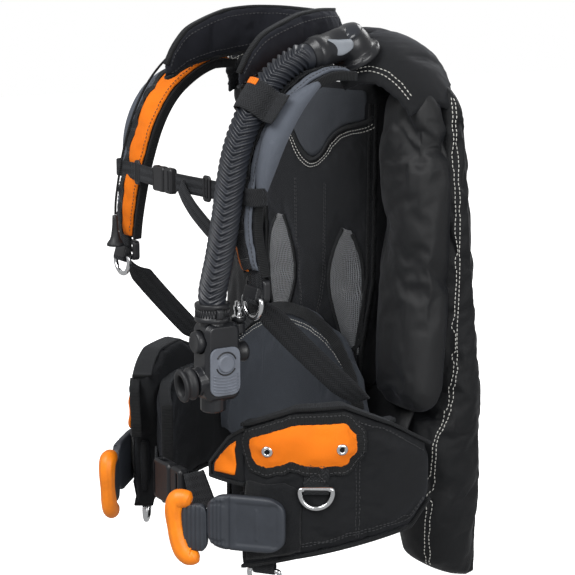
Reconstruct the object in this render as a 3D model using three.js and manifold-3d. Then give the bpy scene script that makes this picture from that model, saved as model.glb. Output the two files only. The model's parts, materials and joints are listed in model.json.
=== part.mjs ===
// A scuba diver's buoyancy compensator vest, as an assembly of its separate pieces.
// Millimetres. +Z is up, the wearer faces -Y and the wearer's left is +X.
// The origin is the centre of the backplate's flat tank rest, which looks along +Y.
import * as THREE from "three";
import { mergeVertices } from "three/addons/utils/BufferGeometryUtils.js";
import Module from "manifold-3d";

const wasm = await Module();
wasm.setup();

// ---------------------------------------------------------------- driving dimensions
const GAP = 0.4; // kept between pieces that touch
const PLATE = { width: 176, top: 196, bottom: -150, front: -18, face: -6 }; // moulded backplate
const GRIP = { half: 48, bottom: 148, top: 176 }; // carrying grip through the top of the plate
const TANK_REST = { width: 76, height: 170 }; // raised flat face that the tank lies on
const BAND = { width: 50, thick: 2.4, halfSpan: 66, reach: 62, z: 40 }; // tank band
const LOBE = { inner: 120, outer: 196, front: -64, back: -18, top: 200, bottom: -117 }; // front air lobes
const STRAP = { thick: 15, topWidth: 58, endWidth: 34 }; // padded shoulder straps
const WEB = { narrow: 20, medium: 25, wide: 40, thick: 1.8 }; // webbing
const RING = { span: 38, drop: 25, wire: 2.6 }; // steel D-rings: width, height and wire radius
const HOSE = { radius: 14 };
const HIP = { pocketThick: 30, panelThick: 15 }; // layers of the waist, from outside to inside
const BUCKLE = { height: 46, thick: 13 }; // waist buckle
const POUCH = { length: 82, height: 92, thick: 13 }; // weight pouch in its sleeve
const CORD = { radius: 1.3 }; // pull cords of the dump valves

// ---------------------------------------------------------------- finishes
const finish = (color, roughness, metalness = 0) =>
  new THREE.MeshStandardMaterial({ color, roughness, metalness });
const BLACK_CLOTH = finish(0x17181a, 0.85);
const NEOPRENE = finish(0x16171b, 0.9);
const GREY_CLOTH = finish(0x55595f, 0.8);
const ORANGE_CLOTH = finish(0xff7a1a, 0.7);
const WEBBING = finish(0x141416, 0.8);
const BLACK_PLASTIC = finish(0x1a1b1d, 0.45);
const GREY_RUBBER = finish(0x5a5f66, 0.6);
const ORANGE_RUBBER = finish(0xff8a10, 0.5);
const HOSE_RUBBER = finish(0x2c3037, 0.55);
const STEEL = finish(0xc8cace, 0.25, 1);

// ---------------------------------------------------------------- helpers
const V = (x, y, z) => new THREE.Vector3(x, y, z);
const lerp = THREE.MathUtils.lerp;
const curve = (points, tension = 0.5) =>
  new THREE.CatmullRomCurve3(points.map((p) => V(...p)), false, "catmullrom", tension);

const vest = new THREE.Group();
const leftSide = new THREE.Group();
const rightSide = new THREE.Group();
rightSide.scale.x = -1; // the wearer's right half is the left half mirrored
vest.add(leftSide, rightSide);

function piece(name, geometry, material, home = vest) {
  const mesh = new THREE.Mesh(closed(geometry), material);
  mesh.name = name;
  home.add(mesh);
  return mesh;
}

// The same piece on both sides, named NAME_left and NAME_right.
function pair(name, geometry, material) {
  piece(name + "_left", geometry, material, leftSide);
  piece(name + "_right", geometry, material, rightSide);
}

// A steady table of values, read between its steps: at(x, [[x0, v0], [x1, v1], ...]).
function at(x, steps) {
  if (x <= steps[0][0]) return steps[0][1];
  for (let i = 1; i < steps.length; i++) {
    const [x0, v0] = steps[i - 1];
    const [x1, v1] = steps[i];
    if (x <= x1) return lerp(v0, v1, THREE.MathUtils.smoothstep(x, x0, x1));
  }
  return steps.at(-1)[1];
}

// Drops the triangles that merging has shrunk to a line.
function withoutSlivers(index) {
  const kept = [];
  for (let i = 0; i < index.length; i += 3) {
    const [a, b, c] = [index[i], index[i + 1], index[i + 2]];
    if (a !== b && b !== c && c !== a) kept.push(a, b, c);
  }
  return kept;
}

// Position-only copy with shared corners, its faces turned outwards.
function closed(geometry) {
  const bare = geometry.clone();
  for (const name of Object.keys(bare.attributes)) if (name !== "position") bare.deleteAttribute(name);
  const merged = mergeVertices(bare, 1e-3);
  const p = merged.attributes.position;
  const index = withoutSlivers(merged.index.array);
  const [a, b, c] = [V(0, 0, 0), V(0, 0, 0), V(0, 0, 0)];
  let volume = 0;
  for (let i = 0; i < index.length; i += 3) {
    a.fromBufferAttribute(p, index[i]);
    b.fromBufferAttribute(p, index[i + 1]);
    c.fromBufferAttribute(p, index[i + 2]);
    volume += a.dot(b.cross(c));
  }
  if (volume < 0) {
    for (let i = 0; i < index.length; i += 3) [index[i + 1], index[i + 2]] = [index[i + 2], index[i + 1]];
  }
  merged.setIndex(index);
  return merged;
}

function toSolid(geometry) {
  const g = closed(geometry);
  const vertProperties = new Float32Array(g.attributes.position.array);
  const triVerts = new Uint32Array(g.index.array);
  return new wasm.Manifold(new wasm.Mesh({ numProp: 3, vertProperties, triVerts }));
}

function toGeometry(solid) {
  const mesh = solid.getMesh();
  return new THREE.BufferGeometry()
    .setAttribute("position", new THREE.BufferAttribute(new Float32Array(mesh.vertProperties), 3))
    .setIndex(new THREE.BufferAttribute(new Uint32Array(mesh.triVerts), 1));
}

const join = (...parts) => toGeometry(parts.map(toSolid).reduce((a, b) => a.add(b)));
const cut = (part, ...tools) => toGeometry(tools.map(toSolid).reduce((a, b) => a.subtract(b), toSolid(part)));

// A closed block bent by a rule: place(u, v, w) gives the point for u, v and w between -1 and 1.
function bent(nu, nv, nw, place) {
  const g = new THREE.BoxGeometry(2, 2, 2, nu, nv, nw);
  const p = g.attributes.position;
  for (let i = 0; i < p.count; i++) {
    const q = place(p.getX(i), p.getY(i), p.getZ(i));
    p.setXYZ(i, q.x, q.y, q.z);
  }
  return closed(g);
}

// A padded sheet: middle(u, v) is its middle surface, thick its thickness, rim the share left at its edges.
function pad(nu, nv, middle, thick, rim = 0.4) {
  const step = 0.01;
  return bent(nu, nv, 1, (u, v, w) => {
    const du = middle(u + step, v).sub(middle(u - step, v));
    const dv = middle(u, v + step).sub(middle(u, v - step));
    const normal = du.cross(dv).normalize();
    const swell = rim + (1 - rim) * Math.sqrt(Math.max(0, (1 - u ** 4) * (1 - v ** 4)));
    return middle(u, v).addScaledVector(normal, (w * thick * swell) / 2);
  });
}

// Flat webbing along a path; across(t) is the direction of its width.
function strap(path, across, width, thick, steps, cells = 1) {
  const wide = typeof width === "function" ? width : () => width;
  return bent(cells, 1, steps, (u, v, w) => {
    const t = (w + 1) / 2;
    const side = across(t).normalize();
    const normal = path.getTangentAt(t).cross(side).normalize();
    const onEdge = path.getPointAt(t).addScaledVector(side, (u * wide(t)) / 2);
    return onEdge.addScaledVector(normal, (v * thick) / 2);
  });
}

function tube(path, radius, sides, steps) {
  const section = new THREE.Shape();
  for (let i = 0; i < sides; i++) {
    const a = (2 * Math.PI * i) / sides;
    if (i === 0) section.moveTo(radius, 0);
    else section.lineTo(radius * Math.cos(a), radius * Math.sin(a));
  }
  return new THREE.ExtrudeGeometry(section, { steps, extrudePath: path, bevelEnabled: false });
}

// A turned part: profile is [radius, height] pairs, turned about +Z.
const turned = (profile, sides = 20) =>
  new THREE.LatheGeometry(profile.map(([r, h]) => new THREE.Vector2(r, h)), sides).rotateX(Math.PI / 2);

// Turns a part's +Z to a direction and moves it to a place.
function aimed(geometry, direction, place) {
  const turn = new THREE.Quaternion().setFromUnitVectors(V(0, 0, 1), direction.clone().normalize());
  return geometry.clone().applyQuaternion(turn).translate(place.x, place.y, place.z);
}

function box(x0, x1, y0, y1, z0, z1) {
  const block = new THREE.BoxGeometry(x1 - x0, y1 - y0, z1 - z0);
  return block.translate((x0 + x1) / 2, (y0 + y1) / 2, (z0 + z1) / 2);
}

function roundedRect(width, height, radius, target = new THREE.Shape()) {
  const [w, h, r] = [width / 2, height / 2, radius];
  target.moveTo(-w + r, -h).lineTo(w - r, -h).absarc(w - r, -h + r, r, -Math.PI / 2, 0, false);
  target.lineTo(w, h - r).absarc(w - r, h - r, r, 0, Math.PI / 2, false);
  target.lineTo(-w + r, h).absarc(-w + r, h - r, r, Math.PI / 2, Math.PI, false);
  target.lineTo(-w, -h + r).absarc(-w + r, -h + r, r, Math.PI, 1.5 * Math.PI, false);
  return target;
}

// An outline drawn upright in X and Z, given thickness from y0 to y1.
function upright(shape, y0, y1, bevel = 0, curveSegments = 4) {
  const g = new THREE.ExtrudeGeometry(shape, {
    depth: y1 - y0 - 2 * bevel,
    bevelEnabled: bevel > 0,
    bevelThickness: bevel,
    bevelSize: bevel,
    bevelOffset: -bevel,
    bevelSegments: 1,
    curveSegments,
  });
  return g.rotateX(Math.PI / 2).translate(0, y1 - bevel, 0);
}

// Places a part drawn in its own X (along), Y (out) and Z (up) on a point with a given outward direction.
function standing(geometry, place, out) {
  const turn = new THREE.Matrix4().makeBasis(V(-out.y, out.x, 0).negate(), out, V(0, 0, 1));
  return geometry.clone().applyMatrix4(turn).translate(place.x, place.y, place.z);
}

// ---------------------------------------------------------------- backplate, tank band and back pads
function backplate() {
  const half = PLATE.width / 2;
  const outline = new THREE.Shape();
  outline.moveTo(-half + 34, PLATE.bottom).lineTo(half - 34, PLATE.bottom);
  outline.quadraticCurveTo(half - 8, PLATE.bottom, half - 10, PLATE.bottom + 40);
  outline.lineTo(half, 60).lineTo(half, 150).quadraticCurveTo(half, PLATE.top, half - 40, PLATE.top);
  outline.lineTo(-half + 40, PLATE.top).quadraticCurveTo(-half, PLATE.top, -half, 150);
  outline.lineTo(-half, 60).lineTo(-half + 10, PLATE.bottom + 40);
  outline.quadraticCurveTo(-half + 8, PLATE.bottom, -half + 34, PLATE.bottom);
  const [restHalf, restRise] = [TANK_REST.width / 2, TANK_REST.height / 2];
  const rest = box(-restHalf, restHalf, PLATE.face - 1, 0, -restRise, restRise);
  const grip = box(-GRIP.half, GRIP.half, PLATE.front - 1, PLATE.face + 1, GRIP.bottom, GRIP.top);
  const slots = [-1, 1].map((side) => {
    const x = side * (BAND.halfSpan - 0.5);
    const half = BAND.width / 2 + 2;
    return box(x - 5.5, x + 5.5, PLATE.front - 1, PLATE.face + 1, BAND.z - half, BAND.z + half);
  });
  return cut(join(upright(outline, PLATE.front, PLATE.face), rest), grip, ...slots);
}
piece("backplate", backplate(), BLACK_PLASTIC);

// The tank band lies slack: a flattened loop through the plate's two slots.
function tankBand() {
  const s = BAND.halfSpan;
  const loop = [
    [-s + 20, -21.5], [0, -21.5], [s - 20, -21.5], [s - 3, -18.5], [s + 1.5, -10], [s + 6, 8], [s + 9, 30],
    [s - 6, 54], [s - 34, BAND.reach], [0, BAND.reach + 1],
    [-s + 34, BAND.reach], [-s + 6, 54], [-s - 9, 30],
    [-s - 6, 8], [-s - 1.5, -10], [-s + 3, -18.5], [-s + 16, -21.4],
  ];
  const path = curve(loop.map(([x, y]) => [x, y, BAND.z]));
  return strap(path, () => V(0, 0, 1), BAND.width, BAND.thick, 56);
}
piece("tank_band", tankBand(), WEBBING);

const camPlace = V(0, BAND.reach + 1 + BAND.thick / 2 + GAP, BAND.z);
piece("cam_buckle", join(
  box(-34, 34, 0, 2.4, -30, 30).translate(camPlace.x, camPlace.y, camPlace.z),
  box(-30, -22, 2, 13, -30, -26).translate(camPlace.x, camPlace.y, camPlace.z),
  box(-30, -22, 2, 13, 26, 30).translate(camPlace.x, camPlace.y, camPlace.z),
), BLACK_PLASTIC);
piece("cam_lever", join(
  box(-29, 30, 4, 8, -25, 25).translate(camPlace.x, camPlace.y, camPlace.z),
  box(-29, -23, 4, 12, -25, 25).translate(camPlace.x, camPlace.y, camPlace.z),
), BLACK_PLASTIC);

const padHalf = (z) => at(z, [[-125, 84], [-75, 92], [0, 114], [190, 116], [206, 96]]);
piece("back_pad", pad(10, 14, (u, v) => {
  const z = lerp(-120, 206, (v + 1) / 2);
  return V(u * padHalf(z), -43.5 - 1.5 * Math.cos(2 * u), z);
}, 37, 0.45), NEOPRENE);

piece("lumbar_pad", pad(14, 6, (u, v) => {
  const top = -40 - 84 * Math.abs(u) ** 2.2;
  return V(150 * u, -77 - 20 * u ** 4, lerp(-236 + 24 * u * u, top, (v + 1) / 2));
}, 17, 0.5), GREY_CLOTH);

// ---------------------------------------------------------------- air cell
// A pillow: a box whose plan is drawn towards an oval by `round`, from 0 to 1.
function pillow(nu, nv, nw, limits, round) {
  return bent(nu, nv, nw, (u, v, w) => {
    const { x0, x1, y0, y1, z } = limits((w + 1) / 2, v);
    const ru = u * (1 - round + round * Math.sqrt(1 - (v * v) / 2));
    const rv = v * (1 - round + round * Math.sqrt(1 - (u * u) / 2));
    return V(lerp(x0, x1, (ru + 1) / 2), lerp(y0, y1, (rv + 1) / 2), z);
  });
}

const endRound = (t, share) => Math.sqrt(1 - Math.max(0, (share - Math.min(t, 1 - t)) / share) ** 2 * 0.86);
pair("air_lobe", pillow(4, 4, 12, (t) => {
  const z = lerp(LOBE.bottom, LOBE.top, t);
  const k = endRound(t, 0.14);
  const middle = (LOBE.inner + LOBE.outer) / 2 - (z > 120 ? (z - 120) * 0.12 : 0);
  const half = ((LOBE.outer - LOBE.inner) / 2) * lerp(0.7, 1, k) - (z > 120 ? (z - 120) * 0.05 : 0);
  const depth = ((LOBE.back - LOBE.front) / 2) * k;
  const y = (LOBE.front + LOBE.back) / 2;
  const lean = at(z, [[140, 0], [LOBE.top, 20]]); // the lobe's front draws back under the yoke
  return { x0: middle - half, x1: middle + half, y0: y - depth + lean, y1: y + depth - lean * 0.4, z };
}, 0.55), NEOPRENE);

pair("wing", pillow(4, 4, 12, (t, v) => {
  const z = lerp(-300, 196, t);
  const bottomSlope = at(z, [[-300, 1], [-180, 0]]) * (v * 27);
  return {
    x0: at(z, [[-300, 122], [-240, 108], [-110, 99], [100, 98], [196, 108]]),
    x1: at(z, [[-300, 176], [-240, 192], [-110, 201], [100, 197], [170, 186], [196, 172]]),
    y0: at(z, [[-300, -30], [-250, -44], [-150, -42], [-118, -14], [198, -14]]),
    y1: at(z, [[-300, 40], [-200, 40], [-110, 31], [0, 16], [100, 6], [196, 0]]),
    z: z - bottomSlope,
  };
}, 0.5), BLACK_CLOTH);

// ---------------------------------------------------------------- yoke, collar and shoulder straps
const crown = (x) => 262 - 46 * (Math.abs(x) / 178) ** 4;
const yokeHeight = (x, y) => crown(x) - ((y + 35) / 60) ** 2 * (y < -35 ? 36 : 44);
const yokeBack = (x) => at(Math.abs(x), [[0, 24], [110, 14], [150, 2], [174, -16]]);
const bump = (x, middle, half) => Math.max(0, 1 - ((Math.abs(x) - middle) / half) ** 2);
piece("top_yoke", pad(22, 6, (u, v) => {
  const x = 174 * u;
  const front = -42 - 62 * Math.sqrt(bump(x, 118, 36));
  const y = lerp(yokeBack(x), front, (v + 1) / 2);
  return V(x, y, yokeHeight(x, y) - 6);
}, 12, 0.6), BLACK_CLOTH);

const collarPlan = curve([
  [-77, -200, 226], [-78, -172, 240], [-76, -138, 251], [-69, -104, 257], [-54, -76, 258], [-28, -61, 257],
  [0, -56, 256],
  [28, -61, 257], [54, -76, 258], [69, -104, 257], [76, -138, 251], [78, -172, 240], [77, -200, 226],
]);
piece("collar", pad(20, 3, (u, v) => {
  const t = THREE.MathUtils.clamp((u + 1) / 2, 0, 1);
  const p = collarPlan.getPointAt(t);
  const half = at(Math.abs(u), [[0, 22], [0.6, 25], [1, 15]]);
  return p.add(V(0, 0, v * half));
}, 19, 0.45), NEOPRENE);

const strapLine = curve([
  [118, -110, 219], [117, -136, 219], [116, -163, 207], [116, -188, 185], [116, -206, 154],
  [118, -217, 116], [122, -222, 80], [130, -222, 50], [137, -220, 28],
]);
const strapWidth = (t) => at(t, [[0, STRAP.topWidth], [0.55, STRAP.topWidth - 8], [1, STRAP.endWidth]]);
pair("shoulder_strap", pad(4, 14, (u, v) => {
  const t = THREE.MathUtils.clamp((v + 1) / 2, 0, 1);
  const p = strapLine.getPointAt(t);
  return p.add(V((u * strapWidth(t)) / 2, 4 * u * u, 0));
}, STRAP.thick, 0.5), ORANGE_CLOTH);

// The webbing from the strap's foot back to the hip, through a ladder buckle at the strap's foot.
const lowerLine = curve([
  [139, -215, 0], [143, -196, -22], [149, -166, -54], [156, -132, -88], [161, -106, -110],
]);
pair("lower_webbing", strap(lowerLine, () => V(0.93, 0.2, 0.1), WEB.medium, WEB.thick, 14), WEBBING);

// ---------------------------------------------------------------- D-rings
// A D-ring hangs from its bar, which lies along X at the origin, with a webbing tab folded round the bar.
function dRing() {
  const half = RING.span / 2 - RING.wire;
  const bow = new THREE.CurvePath();
  const bottom = -(RING.drop - 2 * RING.wire);
  const radius = Math.min(half, -bottom);
  bow.add(new THREE.LineCurve3(V(half, 0, 0), V(half, 0, bottom + radius - 0.01)));
  const arc = [];
  for (let i = 0; i <= 8; i++) {
    const a = (Math.PI * i) / 8;
    arc.push(V(half * Math.cos(a), 0, bottom + radius - 0.01 - radius * Math.sin(a)));
  }
  bow.add(new THREE.CatmullRomCurve3(arc));
  bow.add(new THREE.LineCurve3(V(-half, 0, bottom + radius - 0.01), V(-half, 0, 0)));
  const bar = new THREE.CylinderGeometry(RING.wire, RING.wire, RING.span, 8).rotateZ(Math.PI / 2);
  return join(bar, tube(bow, RING.wire, 6, 12));
}

function ringTab(width, rise) {
  const outline = new THREE.Shape();
  outline.moveTo(-1.6, rise).lineTo(-4.6, 2);
  outline.absarc(0, 0, 5, Math.PI * 0.86, Math.PI * 2.14, false).lineTo(1.6, rise);
  outline.holes.push(new THREE.Path().absarc(0, 0, RING.wire + 0.6, 0, 2 * Math.PI, true));
  const g = new THREE.ExtrudeGeometry(outline, { depth: width, bevelEnabled: false, curveSegments: 3 });
  return g.translate(0, 0, -width / 2).rotateX(Math.PI / 2).rotateZ(Math.PI / 2);
}

const ringOn = (place, out) => standing(dRing(), place, out);
const tabOn = (place, out, rise) => standing(ringTab(RING.span - 14, rise), place, out);

// The shoulder D-ring's tab is sewn to the ladder buckle at the strap's foot.
const shoulderRingAt = V(142, -224, 6);
pair("shoulder_ring", ringOn(shoulderRingAt, V(0, -1, 0)), STEEL);
pair("ladder_buckle", join(cut(
  upright(roundedRect(36, 22, 4), -4, 4, 1, 3),
  box(-14, 14, -6, 6, 2, 6.5),
  box(-14, 14, -6, 6, -6.5, -2),
).translate(139, -216, 14), tabOn(shoulderRingAt, V(0, -1, 0), 12)), BLACK_PLASTIC);

// ---------------------------------------------------------------- waist
// The outer line of the waist in plan, from the hip at the back to the front, and its outward direction.
const hipLine = curve([
  [203, -48, 0], [203, -82, 0], [197, -120, 0], [184, -158, 0], [160, -194, 0], [126, -223, 0], [88, -242, 0],
  [44, -252, 0], [0, -254, 0],
]);
function hip(t, depth, z) {
  const p = hipLine.getPointAt(THREE.MathUtils.clamp(t, 0, 1));
  const d = hipLine.getTangentAt(THREE.MathUtils.clamp(t, 0, 1));
  return V(p.x - d.y * depth, p.y + d.x * depth, z);
}
const hipOut = (t) => {
  const d = hipLine.getTangentAt(t);
  return V(-d.y, d.x, 0).normalize();
};

// Upper and lower edges of the pocket against the share of the way round from the back.
const POCKET_TOP = [[0, -154], [0.14, -128], [0.3, -106], [0.45, -109], [0.6, -127], [0.7, -132]];
const POCKET_BOTTOM = [[0, -212], [0.07, -238], [0.3, -252], [0.45, -262], [0.62, -277], [0.7, -277]];
const pocketTop = (t) => at(t, POCKET_TOP);
const pocketBottom = (t) => at(t, POCKET_BOTTOM);
const POCKET_END = 0.63;

// A layer of the waist between two depths, and from one share of the way round to another.
function waistLayer(nu, t0, t1, depth, thick, top, bottom, rim = 0.5, nv = 4) {
  return pad(nu, nv, (u, v) => {
    const t = lerp(t0, t1, (u + 1) / 2);
    return hip(t, depth, lerp(bottom(t), top(t), (v + 1) / 2));
  }, thick, rim);
}

pair("waist_panel", waistLayer(
  12, 0.07, 0.75, -HIP.pocketThick - GAP - HIP.panelThick / 2, HIP.panelThick,
  (t) => at(t, [[0, -132], [0.6, -140], [0.8, -160]]),
  (t) => at(t, [[0, -250], [0.5, -268], [0.8, -262]]),
), BLACK_CLOTH);

// The weight pouch slides straight out of a sleeve in the pocket, along `draw`.
const POUCH_AT = 0.515;
const draw = hipLine.getTangentAt(POUCH_AT).clone();
const pouchOut = hipOut(POUCH_AT);
const pouchPlace = hip(POUCH_AT, -HIP.pocketThick / 2 - 2.5, -214);
const pouchBlock = (extra, reach) =>
  box(-POUCH.length / 2 - extra, POUCH.length / 2 + reach, -POUCH.thick / 2 - extra, POUCH.thick / 2 + extra,
    -POUCH.height / 2 - extra, POUCH.height / 2 + extra);
// Places a part drawn with X along the draw, Y inward and Z up on the pouch's middle.
const onPouch = (geometry) => {
  const turn = new THREE.Matrix4().makeBasis(draw, pouchOut.clone().negate(), V(0, 0, 1));
  return geometry.clone().applyMatrix4(turn).translate(pouchPlace.x, pouchPlace.y, pouchPlace.z);
};

// The orange panel with two eyelets is sewn to the pocket's face, and so are the webbing tabs of two D-rings.
const trim = waistLayer(
  8, 0.29, 0.6, 0.6, 2.6,
  (t) => pocketTop(t) - at(t, [[0.29, 26], [0.36, 14], [0.52, 12], [0.6, 16]]),
  (t) => at(t, [[0.29, -160], [0.4, -171], [0.5, -174], [0.6, -166]]), 0.7, 2,
);
const eyelet = turned([[2.4, 0], [5.4, 0], [5.4, 1.6], [4.4, 2.3], [2.4, 2.3], [2.4, 0]], 8);
const eyelets = [[0.335, -144], [0.555, -156]].map(([t, z]) => aimed(eyelet, hipOut(t), hip(t, 1, z)));
const pocketRing = { at: hip(0.385, 3.8, -188), out: hipOut(0.385) };
const hemRing = { at: hip(0.56, -13, -282), out: hipOut(0.56) };
pair("pocket_ring", ringOn(pocketRing.at, pocketRing.out), STEEL);
pair("hem_ring", ringOn(hemRing.at, hemRing.out), STEEL);
pair("cargo_pocket", join(
  cut(
    waistLayer(14, 0, POCKET_END, -HIP.pocketThick / 2, HIP.pocketThick, pocketTop, pocketBottom, 0.62, 4),
    onPouch(pouchBlock(1, 60)),
  ),
  trim, ...eyelets, tabOn(pocketRing.at, pocketRing.out, 16), tabOn(hemRing.at, hemRing.out, 14),
), BLACK_CLOTH);

// The release: a receiver on the pocket's face, and the pouch with the pull handle that plugs into it.
pair("weight_receiver", onPouch(cut(
  upright(roundedRect(84, 60, 12), -29.5, -18.4, 3, 3).translate(27, 0, -13),
  box(60, 80, -27, -21, -23, -3),
)), GREY_RUBBER);
function pullHandle() {
  const outline = new THREE.Shape();
  outline.moveTo(-15, -30).quadraticCurveTo(-19, 0, -14, 30).quadraticCurveTo(0, 36, 13, 28);
  outline.quadraticCurveTo(21, 4, 17, -24).quadraticCurveTo(8, -36, -15, -30);
  return cut(upright(outline, -8, 8, 3, 3), box(-6, 6, -9, 9, -16, 14));
}
const tongueEnd = POUCH.length / 2 + 34;
pair("weight_pouch", onPouch(join(
  pouchBlock(0, 0),
  box(POUCH.length / 2 - 4, tongueEnd, -5, 3, -26, 10),
  box(tongueEnd - 4, tongueEnd + 4, -28, 3, -30, 6),
  pullHandle().translate(93, -24, -22),
)), ORANGE_RUBBER);

// Waist webbing and its side-release buckle.
const waistLine = curve([
  [60, -228, -209], [54, -231, -212], [48, -234, -214], [41, -238, -217], [35, -240, -219],
]);
pair("waist_webbing", strap(waistLine, () => V(0, 0, 1), WEB.wide, 2.2, 8), WEBBING);
function sideRelease(height, thick, length, name, place, turn) {
  const [h, t] = [height / 2, thick / 2];
  // Female: a frame open towards the male, with two side windows. Male: a bar, two prongs and a middle guide.
  const female = cut(
    upright(roundedRect(length * 0.55, height, h * 0.28), -t, t, t * 0.4, 3),
    box(-length * 0.17, length * 0.3, -t * 0.55, t * 0.55, -h * 0.72, h * 0.72),
    box(-length * 0.14, length * 0.06, -t * 0.55, t * 0.55, h * 0.6, h + 1),
    box(-length * 0.14, length * 0.06, -t * 0.55, t * 0.55, -h - 1, -h * 0.6),
    box(-length * 0.235, -length * 0.19, -t - 1, t + 1, -h * 0.78, h * 0.78),
  ).translate(-length * 0.225, 0, 0);
  const male = cut(
    join(
      upright(roundedRect(length * 0.34, height, h * 0.24), -t, t, t * 0.4, 3),
      box(-length * 0.46, -length * 0.1, -t * 0.4, t * 0.4, -h * 0.16, h * 0.16),
      box(-length * 0.46, -length * 0.1, -t * 0.4, t * 0.4, h * 0.42, h * 0.62),
      box(-length * 0.46, -length * 0.1, -t * 0.4, t * 0.4, -h * 0.62, -h * 0.42),
    ),
    box(length * 0.03, length * 0.075, -t - 1, t + 1, -h * 0.78, h * 0.78),
  ).translate(length * 0.33 - 0.225 * length + 0.13 * length + GAP, 0, 0);
  const set = (g) => g.applyMatrix4(turn).translate(place.x, place.y, place.z);
  piece(name + "_female", set(female), BLACK_PLASTIC);
  piece(name + "_male", set(male), BLACK_PLASTIC);
}
sideRelease(BUCKLE.height, BUCKLE.thick, 68, "waist_buckle", V(0, -240, -219), new THREE.Matrix4());

// ---------------------------------------------------------------- chest strap
const CHEST = { y: -231, z: 106 };
sideRelease(27, 9, 46, "chest_buckle", V(-18, CHEST.y - 3, CHEST.z), new THREE.Matrix4());
// Chest webbing through plan points [x, y], all at the strap's height.
function chestWebbing(name, points) {
  const path = curve(points.map(([x, y]) => [x, y, CHEST.z]));
  piece(name, strap(path, () => V(0, 0, 1), WEB.narrow, WEB.thick, 6), WEBBING);
}
chestWebbing("chest_webbing_right", [[-104, -229], [-84, -230], [-60, CHEST.y - 2], [-42, CHEST.y - 3]]);
chestWebbing("chest_webbing_left", [[6, CHEST.y - 3], [30, CHEST.y - 2], [60, CHEST.y], [84, -229.5]]);

// ---------------------------------------------------------------- hose, elbow and power inflator (left side)
const hoseLine = curve([
  [121, -146, 238], [121.6, -159, 236], [123, -184, 222], [125, -207, 200], [126.5, -223, 174],
  [127, -234, 146], [127, -241, 112], [126, -246, 78], [123, -251, 44], [118.7, -255.6, 14],
  [118, -256, -4.5],
]);
const hoseStart = hoseLine.getPoint(0);
// The lower length hangs from the retainer and swings.
const HOSE_BEND = { upperEnd: 0.345, lowerStart: 0.365 };
const hosePart = (from, to, count) => curve(Array.from({ length: count + 1 }, (_, i) =>
  hoseLine.getPointAt(lerp(from, to, i / count)).toArray()));
piece("hose_upper", tube(hosePart(0, HOSE_BEND.upperEnd, 5), HOSE.radius, 12, 6), HOSE_RUBBER);
piece("hose_lower", tube(hosePart(HOSE_BEND.lowerStart, 1, 8), HOSE.radius, 12, 9), HOSE_RUBBER);

// Outward direction of the yoke under the elbow and the shoulder valve.
const shoulderOut = V(0.05, -0.56, 0.83).normalize();
const elbowFoot = V(120, -86, 235);
const alongOut = (foot, distance) => foot.clone().addScaledVector(shoulderOut, distance);
const elbowHeart = alongOut(elbowFoot, 21);
const spigot = hoseStart.clone().sub(elbowHeart);
const badgeOut = V(0.86, -0.45, -0.1).normalize();
const elbowProfile = [[0, 0], [25, 0], [25, 6], [19, 8], [20, 19], [16, 29], [9, 34], [0, 36]];
piece("elbow", join(
  aimed(turned(elbowProfile, 18), shoulderOut, elbowFoot),
  aimed(turned([[0, 0], [17, 0], [16, spigot.length() - 10], [13.5, spigot.length() - 9],
    [13.5, spigot.length() - 2], [0, spigot.length() - 2]], 18), spigot, elbowHeart),
  aimed(upright(roundedRect(26, 14, 6), 0, 4, 0.8, 3).rotateX(Math.PI / 2), badgeOut,
    elbowHeart.clone().add(V(0, -12, -3)).addScaledVector(badgeOut, 16)),
), BLACK_PLASTIC);

// The retainer is a webbing strap wrapped over the hose and down onto the shoulder strap.
function retainer() {
  const [inner, outer] = [HOSE.radius + 1.6, HOSE.radius + 4];
  const outline = new THREE.Shape();
  outline.moveTo(inner, -12).lineTo(inner, 0).absarc(0, 0, inner, 0, Math.PI, false).lineTo(-inner, -10);
  outline.lineTo(-outer - 2, -10).lineTo(-outer, -6).lineTo(-outer, 0).absarc(0, 0, outer, Math.PI, 0, true);
  outline.lineTo(outer, -8).lineTo(32, -9).lineTo(32, -12);
  const g = new THREE.ExtrudeGeometry(outline, { depth: 36, bevelEnabled: false, curveSegments: 8 });
  return g.translate(0, 0, -18);
}
const retainerAt = 0.27;
const hoseDown = hoseLine.getTangentAt(retainerAt);
const hoseFront = V(1, 0, 0).cross(hoseDown).negate().normalize();
piece("hose_retainer", retainer()
  .applyMatrix4(new THREE.Matrix4().makeBasis(V(1, 0, 0), hoseFront, V(1, 0, 0).cross(hoseFront)))
  .translate(...hoseLine.getPointAt(retainerAt).toArray()), WEBBING);

const INFLATOR = { x: 118, spigot: -256, front: -271, rear: -232, top: -18, bottom: -97, half: 15 };
// A rounded outline in Y and Z, given thickness from x0 to x1.
const inflatorSide = (y0, y1, z0, z1, r, x0, x1, bevel) => {
  const g = new THREE.ExtrudeGeometry(roundedRect(y1 - y0, z1 - z0, r), {
    depth: x1 - x0 - 2 * bevel,
    bevelEnabled: bevel > 0,
    bevelThickness: bevel,
    bevelSize: bevel,
    bevelOffset: -bevel,
    bevelSegments: 1,
    curveSegments: 4,
  });
  g.applyMatrix4(new THREE.Matrix4().makeBasis(V(0, 1, 0), V(0, 0, 1), V(1, 0, 0)));
  return g.translate(x0 + bevel, (y0 + y1) / 2, (z0 + z1) / 2);
};
const buttonAt = V(INFLATOR.x, INFLATOR.front, -37);
const deflateAt = V(INFLATOR.x, INFLATOR.rear, -52);
const [FRONT, REAR, UP] = [V(0, -1, 0), V(0, 1, 0), V(0, 0, 1)];
const mouthOut = V(0, -1, -0.12); // the mouthpiece points forward and a little down
const sidePlane = INFLATOR.x + INFLATOR.half; // the body's outer side
const aboutHose = (z) => V(INFLATOR.x, INFLATOR.spigot, z);
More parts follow.
